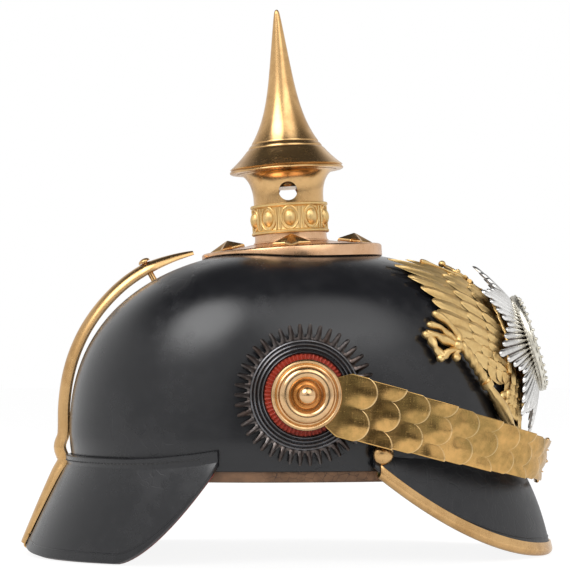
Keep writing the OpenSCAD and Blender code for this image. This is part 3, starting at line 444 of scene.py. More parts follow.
def effect(name, inputs, outputs):
    """A new node group, with its nodes, its inputs and the sockets that its results go to."""
    group = bpy.data.node_groups.new(name, "ShaderNodeTree")
    for label, kind, value in inputs:
        socket = group.interface.new_socket(label, in_out="INPUT", socket_type=kind)
        if value is not None:
            socket.default_value = value
    for label, kind in outputs:
        group.interface.new_socket(label, in_out="OUTPUT", socket_type=kind)
    start, end = group.nodes.new("NodeGroupInput"), group.nodes.new("NodeGroupOutput")
    return group, Graph(group), start.outputs, end.inputs


def tone_effect():
    """Slow drift of a colour between a clean and an aged tone."""
    group, graph, given, result = effect(
        "aged_tone",
        [PLACE, ("Scale", FLOAT, 60.0), ("Clean", COLOUR, (1, 1, 1, 1)), ("Aged", COLOUR, (0, 0, 0, 1)),
         ("Amount", FLOAT, 0.5)],
        [("Colour", COLOUR), ("Mask", FLOAT)],
    )
    broad = graph.noise(given["Vector"], given["Scale"], 5.0, 0.62)
    fine = graph.noise(given["Vector"], graph.times(given["Scale"], 7.0), 4.0, 0.6)
    mask = graph.ranged(graph.weighed(broad, 0.7, fine), 0.38, 0.66)
    share = graph.times(mask, given["Amount"], True)
    graph.feed(result["Colour"], graph.blended(share, given["Clean"], given["Aged"]))
    graph.feed(result["Mask"], mask)
    return group


def scratch_effect():
    """Fine hairlines from polishing, along two directions."""
    group, graph, given, result = effect(
        "polish_lines", [PLACE, ("Strength", FLOAT, 1.0)], [("Height", FLOAT), ("Mask", FLOAT)]
    )
    one = graph.noise(graph.stretched(given["Vector"], (40, 900, 900)), 3.0, 2.0)
    two = graph.noise(graph.stretched(given["Vector"], (900, 900, 50)), 2.0, 2.0)
    mask = graph.ranged(graph.math("ADD", one, two), 1.05, 1.35)
    graph.feed(result["Height"], graph.times(mask, given["Strength"]))
    graph.feed(result["Mask"], mask)
    return group


def crackle_effect():
    """Cracks of old lacquer, in patches, with a faint grain between them."""
    group, graph, given, result = effect(
        "lacquer_cracks",
        [PLACE, ("Cell", FLOAT, 90.0), ("Patches", FLOAT, 14.0), ("Spread", FLOAT, 0.5)],
        [("Height", FLOAT), ("Cracks", FLOAT), ("Patch", FLOAT)],
    )
    place = given["Vector"]
    warp = graph.add("TexNoise", {"Vector": place, "Scale": 55.0, "Detail": 3.0}).outputs["Color"]
    shift = graph.add("VectorMath", {0: warp, 1: (0.012, 0.012, 0.012), 2: place}, operation="MULTIPLY_ADD")
    cells = graph.add("TexVoronoi", {"Vector": shift.outputs[0], "Scale": given["Cell"]},
                      feature="DISTANCE_TO_EDGE")
    lines = graph.ranged(cells.outputs["Distance"], 0.0, 0.035, 1.0, 0.0)
    area = graph.noise(place, given["Patches"], 3.0, 0.5)
    patch = graph.ranged(graph.math("SUBTRACT", area, given["Spread"]), 0.0, 0.12)
    cracks = graph.times(lines, patch)
    grain = graph.noise(place, 900.0, 3.0, 0.6)
    graph.feed(result["Height"], graph.math("SUBTRACT", graph.times(grain, 0.25), cracks))
    graph.feed(result["Cracks"], cracks)
    graph.feed(result["Patch"], patch)
    return group


def dent_effect():
    """Shallow dents and waves of hand work."""
    group, graph, given, result = effect("hand_work", [PLACE, ("Scale", FLOAT, 120.0)], [("Height", FLOAT)])
    graph.feed(result["Height"], graph.noise(given["Vector"], given["Scale"], 2.0, 0.5))
    return group


TONE = tone_effect()
LINES = scratch_effect()
CRACKLE = crackle_effect()
DENTS = dent_effect()


def new_finish(name, **inputs):
    finish = bpy.data.materials.new(name)
    finish.use_nodes = True
    graph = Graph(finish.node_tree)
    shader = graph.nodes["Principled BSDF"].inputs
    for key, value in inputs.items():
        shader[key.replace("_", " ")].default_value = value
    return finish, graph, shader, graph.add("TexCoord").outputs["Object"]


def metal(name, clean, aged, amount=0.6, rough=(0.18, 0.42), tone=40.0, lines=0.35, dents=0.05, edge_wear_and_highlight=None):
    finish, graph, shader, place = new_finish(name, Metallic=1.0)
    tones = graph.placed(TONE, place, Scale=tone, Clean=(*clean, 1), Aged=(*aged, 1), Amount=amount)
    colour = tones["Colour"]
    # Points marked as edge get a brighter colour: partly real wear of the rim, partly a painted highlight of
    # light catching it.
    if edge_wear_and_highlight:
        edge = graph.add("Attribute", attribute_name="edge")
        colour = graph.blended(edge.outputs["Fac"], colour, (*edge_wear_and_highlight, 1))
    graph.feed(shader["Base Color"], colour)
    hair = graph.placed(LINES, place, Strength=1.0)
    wear = graph.weighed(tones["Mask"], 0.7, hair["Mask"])
    graph.feed(shader["Roughness"], graph.ranged(wear, 0.0, 1.0, *rough))
    work = graph.placed(DENTS, place, Scale=110.0)
    first = graph.bumped(work["Height"], dents, 1.0)
    graph.feed(shader["Normal"], graph.bumped(hair["Height"], lines, 0.02, first))
    return finish


def leather(name, clean, aged, rough, cell, spread=0.5, crack=0.3, cracked=(0.03, 0.028, 0.027)):
    finish, graph, shader, place = new_finish(name)
    tones = graph.placed(TONE, place, Scale=26.0, Clean=(*clean, 1), Aged=(*aged, 1), Amount=0.8)
    cracks = graph.placed(CRACKLE, place, Cell=cell, Patches=13.0, Spread=spread)
    graph.feed(shader["Base Color"], graph.blended(cracks["Cracks"], tones["Colour"], (*cracked, 1)))
    hair = graph.placed(LINES, place, Strength=1.0)
    wear = graph.weighed(tones["Mask"], 0.55, cracks["Patch"])
    graph.feed(shader["Roughness"], graph.ranged(wear, 0.0, 1.0, *rough))
    first = graph.bumped(cracks["Height"], crack, 0.25)
    graph.feed(shader["Normal"], graph.bumped(hair["Height"], 0.25, 0.02, first))
    return finish


def cloth(name, colour, shade, scale, rough, sheen):
    finish, graph, shader, place = new_finish(name, Sheen_Weight=sheen, Roughness=rough)
    tones = graph.placed(TONE, place, Scale=30.0, Clean=(*colour, 1), Aged=(*shade, 1), Amount=0.7)
    graph.feed(shader["Base Color"], tones["Colour"])
    weave = graph.add("TexWave", {"Scale": scale, "Distortion": 1.0, "Vector": place}, wave_type="BANDS",
                      bands_direction="DIAGONAL")
    graph.feed(shader["Normal"], graph.bumped(weave.outputs["Fac"], 0.25, 0.1))
    return finish


BRASS = metal("old_brass", (0.72, 0.45, 0.20), (0.46, 0.26, 0.10), 0.7, (0.2, 0.36))
COPPERY = metal("rosy_brass", (0.80, 0.50, 0.30), (0.60, 0.33, 0.16), 0.7, (0.2, 0.38))
# The last colour is each scale's bright rim: partly wear, partly a painted highlight.
SCALE_BRASS = metal("scale_brass", (0.68, 0.40, 0.14), (0.30, 0.20, 0.065), 0.9, (0.14, 0.3), 34.0, 0.5, 0.08,
                    (0.95, 0.75, 0.45))
GILT = metal("fire_gilt", (0.84, 0.60, 0.27), (0.62, 0.40, 0.15), 0.6, (0.42, 0.58), 90.0, 0.2, 0.04)
POLISHED = metal("polished_gilt", (0.78, 0.50, 0.27), (0.48, 0.30, 0.12), 0.6, (0.16, 0.3), 90.0, 0.3, 0.03)
SILVER = metal("silvering", (0.86, 0.85, 0.83), (0.55, 0.53, 0.50), 0.6, (0.2, 0.4), 90.0)
PALE_SILVER = metal("pale_gilt_silver", (0.82, 0.79, 0.70), (0.5, 0.45, 0.34), 0.6, (0.3, 0.5), 120.0)
DARK_SILVER = metal("tarnished_silvering", (0.15, 0.135, 0.13), (0.09, 0.055, 0.04), 0.8, (0.3, 0.5), 90.0)
GREY_SILVER = metal("grey_silvering", (0.17, 0.17, 0.18), (0.09, 0.08, 0.075), 0.8, (0.26, 0.42), 90.0)
LACQUER = leather("black_lacquer", (0.0075, 0.0078, 0.0095), (0.016, 0.016, 0.018), (0.2, 0.38), 120.0, 0.53,
                  0.45, (0.014, 0.014, 0.015))
VISOR_LACQUER = leather("visor_lacquer", (0.009, 0.0093, 0.011), (0.02, 0.02, 0.022), (0.24, 0.44), 160.0,
                        cracked=(0.014, 0.014, 0.015))
BROWN = leather("sweatband_skin", (0.23, 0.12, 0.06), (0.07, 0.04, 0.025), (0.5, 0.75), 260.0, 0.42, 0.5,
                (0.05, 0.028, 0.02))
STRAP_SKIN = leather("strap_skin", (0.06, 0.032, 0.018), (0.025, 0.015, 0.01), (0.5, 0.7), 260.0, 0.45, 0.5)
GREEN = leather("green_lining", (0.02, 0.075, 0.04), (0.014, 0.045, 0.026), (0.45, 0.65), 240.0,
                cracked=(0.012, 0.03, 0.02))
RED = leather("red_lining", (0.24, 0.028, 0.024), (0.13, 0.018, 0.016), (0.45, 0.65), 240.0,
              cracked=(0.07, 0.015, 0.012))
RED_FACE = leather("red_face", (0.42, 0.045, 0.02), (0.22, 0.025, 0.014), (0.4, 0.6), 300.0,
                   cracked=(0.05, 0.012, 0.01))
BLACK_FACE = leather("black_face", (0.012, 0.012, 0.012), (0.03, 0.028, 0.027), (0.4, 0.6), 300.0)
SILK = cloth("silk", (0.55, 0.47, 0.34), (0.36, 0.29, 0.19), 1100.0, 0.6, 0.4)
THREAD = cloth("black_thread", (0.012, 0.012, 0.013), (0.03, 0.028, 0.026), 3000.0, 0.7, 0.2)


# Skull: the grid of its points, and the share of the rows that lie below the level line.
SKULL_GRID = (224, 72)
LEVEL_SHARE = 0.14


def skull_point(u, v, out=0.0):
    a = TURN * u
    if v < LEVEL_SHARE:
        return skull_at(a, mixed(EDGE_Z, LEVEL_Z, v / LEVEL_SHARE), out)
    return dome_at(a, mixed(0.02, math.pi / 2, (v - LEVEL_SHARE) / (1 - LEVEL_SHARE)), out)


skull = formed("skull_leather", *SKULL_GRID, skull_point)
skull_form = skull.copy()
skull_form.data = skull.data.copy()
bpy.context.collection.objects.link(skull_form)
skull_form.name = "form"
walled(skull, SKULL_WALL)
shown(skull, LACQUER, "skull", 60)

# A form a little outside the skull, on which the eagle is laid out.
RELIEF = 3.0
relief_form = formed("relief", *SKULL_GRID, lambda u, v: skull_point(u, v, RELIEF))


def on_skull(y, z, lift):
    """A point over the skull's front, where y and z are its place at the middle of the relief's height."""
    hit, place, out, _ = relief_form.ray_cast(Vector((0.3, y * MM, z * MM)), Vector((-1, 0, 0)))
    if not hit:
        place = Vector((CROWN_X * MM, y * MM, z * MM))
        out = Vector((1, 0, 0))
    return place / MM + out * (lift - RELIEF)


# Sweatband: its rolled hem shows under the skull.
BAND_BEND = EDGE_Z + LEVEL_TALL * 0.6
HEM = SKULL_WALL + 0.3
BAND_LINE = [
    (HEM_Z + 0.5, -1.5), (HEM_Z + 2.6, -1.35), (EDGE_Z - 0.25, -1.5), (EDGE_Z - 0.25, -HEM),
    (BAND_BEND, -HEM), (BAND_TOP, -12.0), (BAND_TOP, -13.6), (BAND_BEND, -HEM - 1.6),
    (HEM_Z + 1, -HEM - 1.6), (HEM_Z, -HEM + 0.2), (HEM_Z + 0.5, -1.5),
]


def band_point(u, v):
    return skull_at(TURN * u, *along_line(BAND_LINE, v))


shown(formed("sweatband_leather", 224, 30, band_point), BROWN, "sweatband")

# Silk liner, gathered towards the crown.
LINER_OUT = 15.3
LINER_LOW = BAND_TOP - 1.2
LINER_TALL = APEX_Z - 24.5 - LINER_LOW


def liner_point(u, v):
    a = TURN * u
    climb = rad(mixed(0, 89, v))
    fold = math.cos(32 * a) * v
    base = skull_at(a, BAND_TOP, 0.9 * math.cos(16 * a) * (1 - v) + 0.9 * fold - LINER_OUT)
    share = math.cos(climb) ** 0.75
    rise = LINER_TALL * math.sin(climb) ** 0.85
    return Vector((CROWN_X + (base.x - CROWN_X) * share, base.y * share, LINER_LOW + rise + 0.4 * fold))


liner = formed("silk_liner", 256, 28, liner_point)
walled(liner, 0.5, 0.0)
shown(liner, SILK, "liner", 60)


# Visors. On their surfaces u goes from -1 to 1 round the head. v below 0 is the flange on the skull,
# 0 the fold and 1 the rim.
def bowed(p, q, sway, drop, t):
    c = Vector((mixed(p.x, q.x, sway), mixed(p.y, q.y, sway), mixed(p.z, q.z, drop)))
    return (1 - t) * (1 - t) * p + 2 * t * (1 - t) * c + t * t * q


FRONT_END = azimuth_at(FRONT_CORNER_X)
FRONT_END_RIM = math.acos(FRONT_CORNER_X / FRONT_REACH)
FRONT_TIP_Z = 2.7


def front_rim(u):
    t = FRONT_END_RIM * u
    x = FRONT_REACH * math.cos(t)
    rise = (max(0.0, FRONT_REACH - x) / (FRONT_REACH - FRONT_CORNER_X)) ** 1.7
    return Vector((x, FRONT_HALF * math.sin(t), mixed(FRONT_TIP_Z, EDGE_Z + 1.5, rise)))


def visor_at(a, low, high, rim, bow, v):
    """A visor's inner face, between heights on the skull and a point of its rim."""
    fold = skull_at(a, low, VISOR_SEAT)
    if v < 0:
        return fold + (skull_at(a, high, VISOR_SEAT) - fold) * -v
    return bowed(fold, rim, *bow, v)


def front_visor_at(u, v):
    climb = 6 * u * u
    return visor_at(FRONT_END * u, EDGE_Z + 1 + climb, EDGE_Z + 7 + climb, front_rim(u), (0.66, 0.36), v)


REAR_END = math.pi - azimuth_at(-REAR_CORNER_X)


def rear_rim(u):
    t = 90 * u
    z = REAR_RIM_Z + 2.8 * math.exp(-((t / 16) ** 2))
    z += (EDGE_Z + 2 - REAR_RIM_Z) * held((abs(t) - 60) / 30) ** 1.6
    reach = (REAR_REACH - REAR_CORNER_X) * math.cos(rad(t))
    return Vector((-REAR_CORNER_X - reach, -REAR_HALF * math.sin(rad(t)), z))


def rear_visor_at(u, v):
    corner = held((abs(u) - 0.6) / 0.4) ** 2
    low, high = mixed(EDGE_Z + 0.5, EDGE_Z + 4, corner), mixed(EDGE_Z + 5.5, EDGE_Z + 10, corner)
    return visor_at(math.pi + REAR_END * u, low, high, rear_rim(u), (0.45, 0.4), v)


def lifted(surface, u, v, lift):
    """A point of a surface moved off it, away from the inside."""
    d = 0.004
    along = surface(min(1, u + d), v) - surface(max(-1, u - d), v)
    low, high = (v - d, v) if v > 1 - d else (v, v + d)
    down = surface(u, high) - surface(u, low)
    return surface(u, v) + down.cross(along).normalized() * lift


def visor_leather(side, surface):
    def at(u, v):
        return surface(2 * u - 1, 1 - v / 0.8 if v < 0.8 else -(v - 0.8) / 0.2)

    name = side + "_visor"
    skin = eased(walled(formed(name + "_leather", 120, 30, at, False), VISOR_WALL, 1.0), 0.5, 2, 50)
    shown(skin, VISOR_LACQUER, name, 45)


def visor_lining(side, surface, colour, finish):
    def at(u, v):
        return lifted(surface, 0.985 * (2 * u - 1), mixed(1, 0.02, v), -0.15)

    under = walled(formed(f"{side}_visor_{colour}_lining", 120, 20, at, False), LINING_WALL, -1.0, False)
    shown(under, finish, side + "_visor_lining", 45)


def visor_ridge(side, surface, v, end, radius):
    """A ridge pressed along a visor, a little inside its rim."""
    name = side + "_visor"
    line = [lifted(surface, mixed(-end, end, i / 120), v, VISOR_WALL - 0.12) for i in range(121)]
    shown(rod(name + "_ridge", line, radius, 8), VISOR_LACQUER, name, 60)


def visor_stitches(side, surface, end, count):
    """Thread stitches in a row along a visor's flange."""
    name = side + "_visor"
    half = 0.32 * 2 * end / count
    threads = []
    for k in range(count):
        u = mixed(-end, end, k / (count - 1))
        line = [lifted(surface, u + half * (t / 2 - 1), -0.55,
                       VISOR_WALL + 0.22 * math.sin(math.pi * t / 4) - 0.08) for t in range(5)]
        threads.append(rod("thread", line, 0.3, 6))
    shown(joined(name + "_stitches", threads), THREAD, name, 60)


visor_leather("front", front_visor_at)
visor_leather("rear", rear_visor_at)
visor_lining("front", front_visor_at, "green", GREEN)
visor_lining("rear", rear_visor_at, "red", RED)

# Turned and rolled brass pieces on the crown.
CROWN = moved(CROWN_X, 0, BASE_Z) @ spun(rad(-CROWN_LEAN), "Y")


def skull_under(a, r):
    """Height of the skull's outside in the crown's frame, at an angle and a distance from its axis."""
    start = CROWN @ polar(r, a, 30)
    hit, place, _, _ = skull_form.ray_cast(start * MM, -CROWN.to_3x3().col[2])
    return (CROWN.inverted() @ (place / MM)).z if hit else 0.0


# Radius and height of the base plate's outline. A letter stands for a height over the skull.
OVER_SKULL = {"low": 0.3, "high": 0.8}
BASE_LINE = [
    (43.6, "low"), (44.6, "low"), (45.0, "high"), (45.0, 2.3), (44.7, 2.9), (44.1, 3.3), (43.0, 3.4),
    (42.2, 3.2), (41.7, 2.7), (41.2, 2.65), (40.5, 2.9), (38.0, 3.5), (34.0, 4.2), (31.0, 4.55), (26.0, 5.2),
    (21.5, 6.2), (17.0, 6.2), (12.5, 6.2), (12.5, 5.3), (21.5, 5.3), (31.0, 3.65), (40.0, 2.0), (41.6, 1.7),
    (43.4, 1.9), (43.6, "low"),
]


def base_point(u, v):
    """The base plate, whose rim follows the skull."""
    a = TURN * u
    r, z = BASE_LINE[round(v * (len(BASE_LINE) - 1))]
    if z in OVER_SKULL:
        z = skull_under(a, r) + OVER_SKULL[z]
    return CROWN @ polar(r, a, z)


shown(formed("base_plate_brass", 144, len(BASE_LINE) - 1, base_point), COPPERY, "base_plate")


STUD_RING = 31


def star_stud(turn):
    spot = CROWN @ spun(turn, "Z")
    place = spot @ moved(STUD_RING, 0, 4.5) @ spun(rad(10.3), "Y")
    post_place = spot @ moved(STUD_RING, 0, BASE_TOP - 1) @ spun(rad(6), "Y")
    line = [(0.0, 0.3), (1.0, 0.3), (1.0, 1.1), (0.94, 1.6), (0.0, 5.4)]

    def at(u, v):
        k = round(u * 10)
        share, z = along_line(line, v)
        return place @ polar((10.0 if k % 2 == 0 else 5.5) * share, TURN * k / 10, z)

    star = eased(formed("star_stud", 10, 4, at), 0.3, 2, 12)
    post = turned("post", [(0, -14), (2, -14), (2, -0.4), (0, -0.4)], post_place, 24)
    return joined("star_stud", [star, post])


star_studs = joined("star_stud_set", [star_stud(math.pi / 2 * k) for k in range(4)])
shown(star_studs, BRASS, "star_studs", 28)

collar = raised([(17.4, 0), (18.5, 0), (18.8, 0.4), (18.7, 0.9), (18.25, 1.1), (18.0, 2.4)], NECK_Z)
collar += [(17.95, PEARL_Z - 0.1), (16.8, PEARL_Z - 0.1), (16.8, NECK_Z + 1)]
shown(turned("smooth_collar", collar, CROWN, closed_profile=True), COPPERY, "spike_neck")


def flared(r, tall, angles):
    """The trumpet's curve, from a radius outwards."""
    return [(r + 7.0 * (1 - math.cos(rad(t))), TRUMPET_Z + 3 + tall * math.sin(rad(t))) for t in angles]


trumpet = [(16.3, PEARL_Z - 0.1), (16.3, TRUMPET_Z), (17.5, TRUMPET_Z)]
trumpet += flared(17.5, TRUMPET_TALL - 3, range(0, 91, 6))
trumpet += [(24.9, MOUTH_Z - 0.1), (24.9, MOUTH_Z), (23.6, MOUTH_Z)]
trumpet += flared(16.4, TRUMPET_TALL - 3.4, range(84, -1, -6))
trumpet += [(15.2, TRUMPET_Z), (15.2, PEARL_Z - 0.1)]
neck = turned("trumpet_neck", trumpet, CROWN, 144, closed_profile=True)
clear_choice()
bpy.ops.mesh.primitive_cylinder_add(vertices=48, radius=VENT_R * MM, depth=0.06)
vent = bpy.context.active_object
vent.data.transform(spun(math.pi / 2, "X"))
vent.data.transform(Matrix.Translation(CROWN @ Vector((0, 0, TRUMPET_Z + 5.6)) * MM))
apply_modifier(neck, "BOOLEAN", operation="DIFFERENCE", solver="EXACT", object=vent)
bpy.data.objects.remove(vent)
shown(neck, BRASS, "spike_neck", 30)

visor_ridge("front", front_visor_at, 0.9, 0.9, 0.45)
visor_ridge("rear", rear_visor_at, 0.92, 0.93, 0.4)
visor_stitches("front", front_visor_at, 0.9, 84)
visor_stitches("rear", rear_visor_at, 0.93, 96)

# Ring of pearls between two beads, each in an oval and with two bars beside it.
PEARLS = 10
FACE_R = NECK_R - 0.2
PEARL_MID = (PEARL_Z + TRUMPET_Z) / 2
sleeve = [(16.4, PEARL_Z)]
sleeve += raised([(19.0, 0), (19.35, 0.4), (19.35, 1.2), (19.0, 1.6), (18.4, 2.0), (18.3, 2.3)], PEARL_Z)
sleeve += raised([(18.3, -2.4), (18.4, -2.1), (19.0, -1.7), (19.35, -1.3), (19.35, -0.5), (19.0, -0.1)],
                 TRUMPET_Z)
sleeve += [(16.4, TRUMPET_Z - 0.1)]
pearl_parts = [turned("sleeve", sleeve, CROWN, 144, closed_profile=True)]
for k in range(PEARLS):
    turn = TURN * (k + 0.5) / PEARLS
    seat = CROWN @ spun(turn, "Z")
    out = seat.to_3x3() @ Vector((1, 0, 0))
    pearl_parts.append(ball("pearl", seat @ moved(FACE_R - 0.9, 0, PEARL_MID), (3.1, 3.2, 4.4), 12, 20))
    rim = []
    for y, z in arc(0, PEARL_MID, 4.25, 5.6, range(0, 360, 10)):
        rim.append(seat @ Vector((math.sqrt((FACE_R + 0.1) ** 2 - y * y), y, z)))
    pearl_parts.append(rod("oval", rim, 0.5, 8, True, out))
    between = CROWN @ spun(turn + TURN / PEARLS / 2, "Z")
    for shift in (-0.95, 0.95):
        bar = [between @ Vector((FACE_R + 0.1, shift, mixed(PEARL_Z + 1.9, TRUMPET_Z - 2.1, t / 4)))
               for t in range(5)]
        pearl_parts.append(rod("bar", bar, 0.55, 8, False, out))
shown(joined("pearl_band", pearl_parts), GILT, "pearl_ring", 40)


def spike_radius(t):
    foot = FLANGE_R - 1.7
    return 1.7 + foot * 0.62 * (1 - t) ** 5.2 + foot * 0.38 * (1 - t) ** 0.92


spike_line = [(0, -8), (12.9, -8), (13.5, -7.2), (13.5, 0), (25.8, 0), (27.6, 0.15), (28.3, 0.5),
              (28.5, 0.95), (28.3, 1.4), (27.6, 1.9)]
climb = 0.0
while climb < 1:
    z = 2.6 + (SPIKE_TALL - 4.3) * climb
    r = spike_radius(climb) - 0.35
    for groove in (12.0, 14.4):
        r -= 0.4 * math.exp(-(((z - groove) / 0.42) ** 2))
    spike_line.append((r, z))
    climb += 0.0035 if 10.5 < z < 16 else 0.012
spike_line += raised([(1.35, -1.7), (0.95, -0.6), (0.45, -0.12), (0, 0)], SPIKE_TALL)
spike = turned("spike_brass", spike_line, CROWN @ moved(0, 0, SPIKE_Z))
shown(spike, BRASS, "spike", 32, "spike")

# Spine down the back, with its stud and the hook round the rear visor's rim.
SPINE_OFF = VISOR_WALL + 0.3
SPINE_HALF = 6.5
spine_points = [dome_at(math.pi, rad(c), mixed(0.7, 4.5, held(c / 50)))
                for c in (68, 62, 55, 48, 41, 34, 27, 20, 13, 6)]
spine_points += [skull_at(math.pi, LEVEL_Z - 1, 0.9), skull_at(math.pi, EDGE_Z + 8.5, VISOR_WALL + 0.6)]
spine_points += [lifted(rear_visor_at, 0, j / 5, SPINE_OFF) for j in range(6)]
spine_line = flowing(spine_points, 6)


def spine_frame(i):
    way = (spine_line[min(i + 1, len(spine_line) - 1)] - spine_line[max(i - 1, 0)]).normalized()
    return spine_line[i], Vector((way.z, 0, -way.x))


def spine_point(u, v):
    i = round(v * (len(spine_line) - 1))
    k = i / 6
    place, out = spine_frame(i)
    wide = SPINE_HALF * min(1.0, 0.25 + 0.4 * k)
    foot = held((len(spine_points) - 1 - k) / 5)
    deep = mixed(2, 5.6, held(k / 2)) * mixed(0.5, 1, foot)
    t = math.pi * u
    return place + Vector((0, wide * math.cos(t), 0)) + out * deep * math.sin(t)


def rim_frame(surface, s):
    """A visor's rim at a place, with the ways off its face and down past the rim."""
    rim = surface(s, 1)
    return rim, (lifted(surface, s, 1, 1) - rim).normalized(), (rim - surface(s, 0.8)).normalized()


spine = walled(formed("spine_strip", 24, len(spine_line) - 1, spine_point, False), 1.0, 1.0, False)
FOLD = [(-6, 3.3), (-0.5, 3.3), (0.5, 2.9), (0.9, 2.2), (0.9, -0.8), (0.5, -1.4), (-0.4, -1.9), (-6, -1.9)]


def hook_point(u, v):
    rim, out, down = rim_frame(rear_visor_at, 0)
    x, y = along_line(FOLD, v)
    return rim + down * x + out * y + Vector((0, mixed(-SPINE_HALF, SPINE_HALF, u), 0))


hook = eased(walled(formed("spine_hook", 6, 28, hook_point, False), 0.9, 0.0), 0.25, 2)
shown(joined("spine_brass", [spine, hook]), BRASS, "spine")
stud_seat, stud_way = spine_frame(12)
stud_place = moved(*(stud_seat + stud_way * 5.8)) @ stud_way.to_track_quat("Z", "Y").to_matrix().to_4x4()
dome = [(0, -18), (3.5, -18), (3.5, -15), (1.5, -15), (1.5, 0), (3.0, 0)]
dome += arc(0, 0.3, 3, 1.7, range(0, 91, 15))
shown(turned("spine_stud_brass", dome, stud_place, 40), BRASS, "spine_stud")

# Brass channel on the front visor's rim, and the domed studs at its ends.
TRIM_LINE = [(-3.4, 2.3), (0, 2.3)] + arc(0, 0, 2.3, 2.3, range(75, -76, -15)) + [(0, -2.3), (-3.4, -2.3)]


def trim_point(u, v):
    rim, out, down = rim_frame(front_visor_at, mixed(-0.985, 0.985, u))
    x, y = along_line(TRIM_LINE, v)
    return rim + out * (0.85 + y) + down * (x + 0.15)


trim = walled(formed("visor_channel", 160, 28, trim_point, False), 0.9, 0.0)
shown(eased(trim, 0.2, 2), BRASS, "front_trim")
stud_x, stud_z = FRONT_CORNER_X + 4, EDGE_Z + 8.2
stud_y = side_reach(stud_x, stud_z) + VISOR_SEAT + VISOR_WALL + 0.9
stud_place = moved(stud_x, -stud_y, stud_z) @ spun(rad(24), "Z") @ spun(rad(90), "X")
dome = [(0, -6.4), (1.5, -6.4), (1.5, 0), (4.5, 0), (4.55, 0.3), (4.5, 0.7)]
dome += arc(0, 1.6, 5.2, 3.6, range(-30, 91, 12))
stud = turned("stud", dome, stud_place, 48)
shown(joined("visor_stud_pair", [stud, mirrored(stud, "stud_left")]), BRASS, "trim_studs")


# Eagle plate, laid over the skull's front feather by feather. Places are given across and up.
def plume(root, tip, wide, lift, rise=0.7, camber=1.0, quill=0.5, bow=0.0, rows=14, columns=10, tail=0.5):
    p, q = Vector(root), Vector(tip)
    along = q - p
    side = Vector((-along.y, along.x)).normalized()

    def at(u, v):
        s = 1 - (1 - v) ** 1.6
        t = 2 * u - 1
        shape = min(1.0, tail + 1.4 * s) * math.sqrt(max(0.0, 1 - max(0.0, (s - 0.7) / 0.3) ** 2))
        spot = p + along * s + side * (t * wide / 2 * shape + bow * math.sin(math.pi * s))
        barbs = 0.14 * math.cos(math.pi * 9 * (s * along.length / 9 - abs(t) * 0.9)) * (1 - abs(t) ** 4)
        high = lift + rise * s + camber * (1 - t * t) * shape + quill * math.exp(-((t / 0.16) ** 2)) + barbs
        return on_skull(spot.x, spot.y, high)

    return formed("feather", columns, rows, at)


def small_plume(root, tip, wide, lift, rise, camber):
    return plume(root, tip, wide, lift, rise=rise, camber=camber, rows=8, columns=6)


def skull_rod(points, radius, lift, sides=12, steps=8):
    line = [on_skull(p.x, p.y, lift) for p in flowing([Vector(q) for q in points], steps)]
    return rod("skull_rod", line, radius, sides, False, (0.9, 0, 0.3))


def bead_at(name, y, z, lift, sizes, rows, columns):
    return ball(name, moved(*on_skull(y, z, lift)), sizes, rows, columns)


WING_TIPS = [(16.7, 144.8), (28.6, 145.2), (37.8, 145.3), (44.6, 141.9), (50.0, 136.5), (53.2, 131.0),
             (55.5, 124.8), (58.5, 119.2), (58.6, 113.0), (55.0, 106.5), (51.5, 99.8), (46.5, 93.2)]
WING_ROOTS = [(9, 122), (11, 121), (14, 119), (17, 116), (20, 112), (22, 107), (24, 103), (27, 99), (30, 96),
              (32, 93), (33, 90), (32, 87)]
WING_SHOULDER = [(8, 121), (14, 119), (20, 112), (24, 103), (30, 96), (33, 89)]
WING_LAYERS = ((1.0, 10.4, 1.3), (0.7, 8.4, 2.2), (0.46, 7.4, 3.0))


def wing(side):
    parts = []
    for reach, wide, lift in WING_LAYERS:
        for k, (root, tip) in enumerate(zip(WING_ROOTS, WING_TIPS)):
            end = (side * mixed(root[0], tip[0], reach), mixed(root[1], tip[1], reach))
            bow = side * 1.6 * (0.5 - k / 11)
            parts.append(plume((side * root[0], root[1]), end, wide, lift + 0.12 * (k % 2), bow=bow))
    parts.append(skull_rod([(side * y, z) for y, z in WING_SHOULDER], lambda t, a: 2.6 - 1.2 * t, 4.2))
    return parts


def leg(side):
    parts = [plume((side * 23, 93), (side * 33.5, 69), 15, 1.9, rise=0.4, camber=3.0, quill=0.0, tail=0.7)]
    for row in range(4):
        for k in range(3):
            y, z = 25 + 2.4 * row + 3.6 * (k - 1), 88 - 4.8 * row + 1.2 * (k - 1)
            parts.append(small_plume((side * y, z), (side * (y + 2.6), z - 6.2), 4.6, 4.4, 0.5, 0.7))
    for a, b, c, d in ((41, 79, 44, 75.5), (38, 76, 41.5, 72), (36, 80, 39, 77)):
        claw = [(side * a, b), (side * (a + c) / 2, (b + d) / 2 + 1.5), (side * c, d)]
        parts.append(skull_rod(claw, lambda t, a: 1.9 - 1.1 * t, 4.6, 10, 5))
    return parts


def tail():
    parts = []
    for k in range(7):
        y = (k - 3) * 7.6
        parts.append(plume((y * 0.35, 84), (y, 57.5 + 0.018 * y * y), 9, 1.7 + 0.3 * (k % 2), rise=0.5))
    return parts


def body():
    parts = [plume((0, 126), (0, 74), 40, 1.8, rise=0, camber=5.5, quill=0, tail=0.6, rows=20, columns=16)]
    for row in range(6):
        for k in range(5):
            y, z = (k - 2) * 6.0 + 3.0 * (row % 2), 121 - 6.5 * row
            parts.append(small_plume((y, z), (y * 1.05, z - 9), 6.8, 5.4 - abs(y) * 0.12, 0.8, 0.9))
    return parts


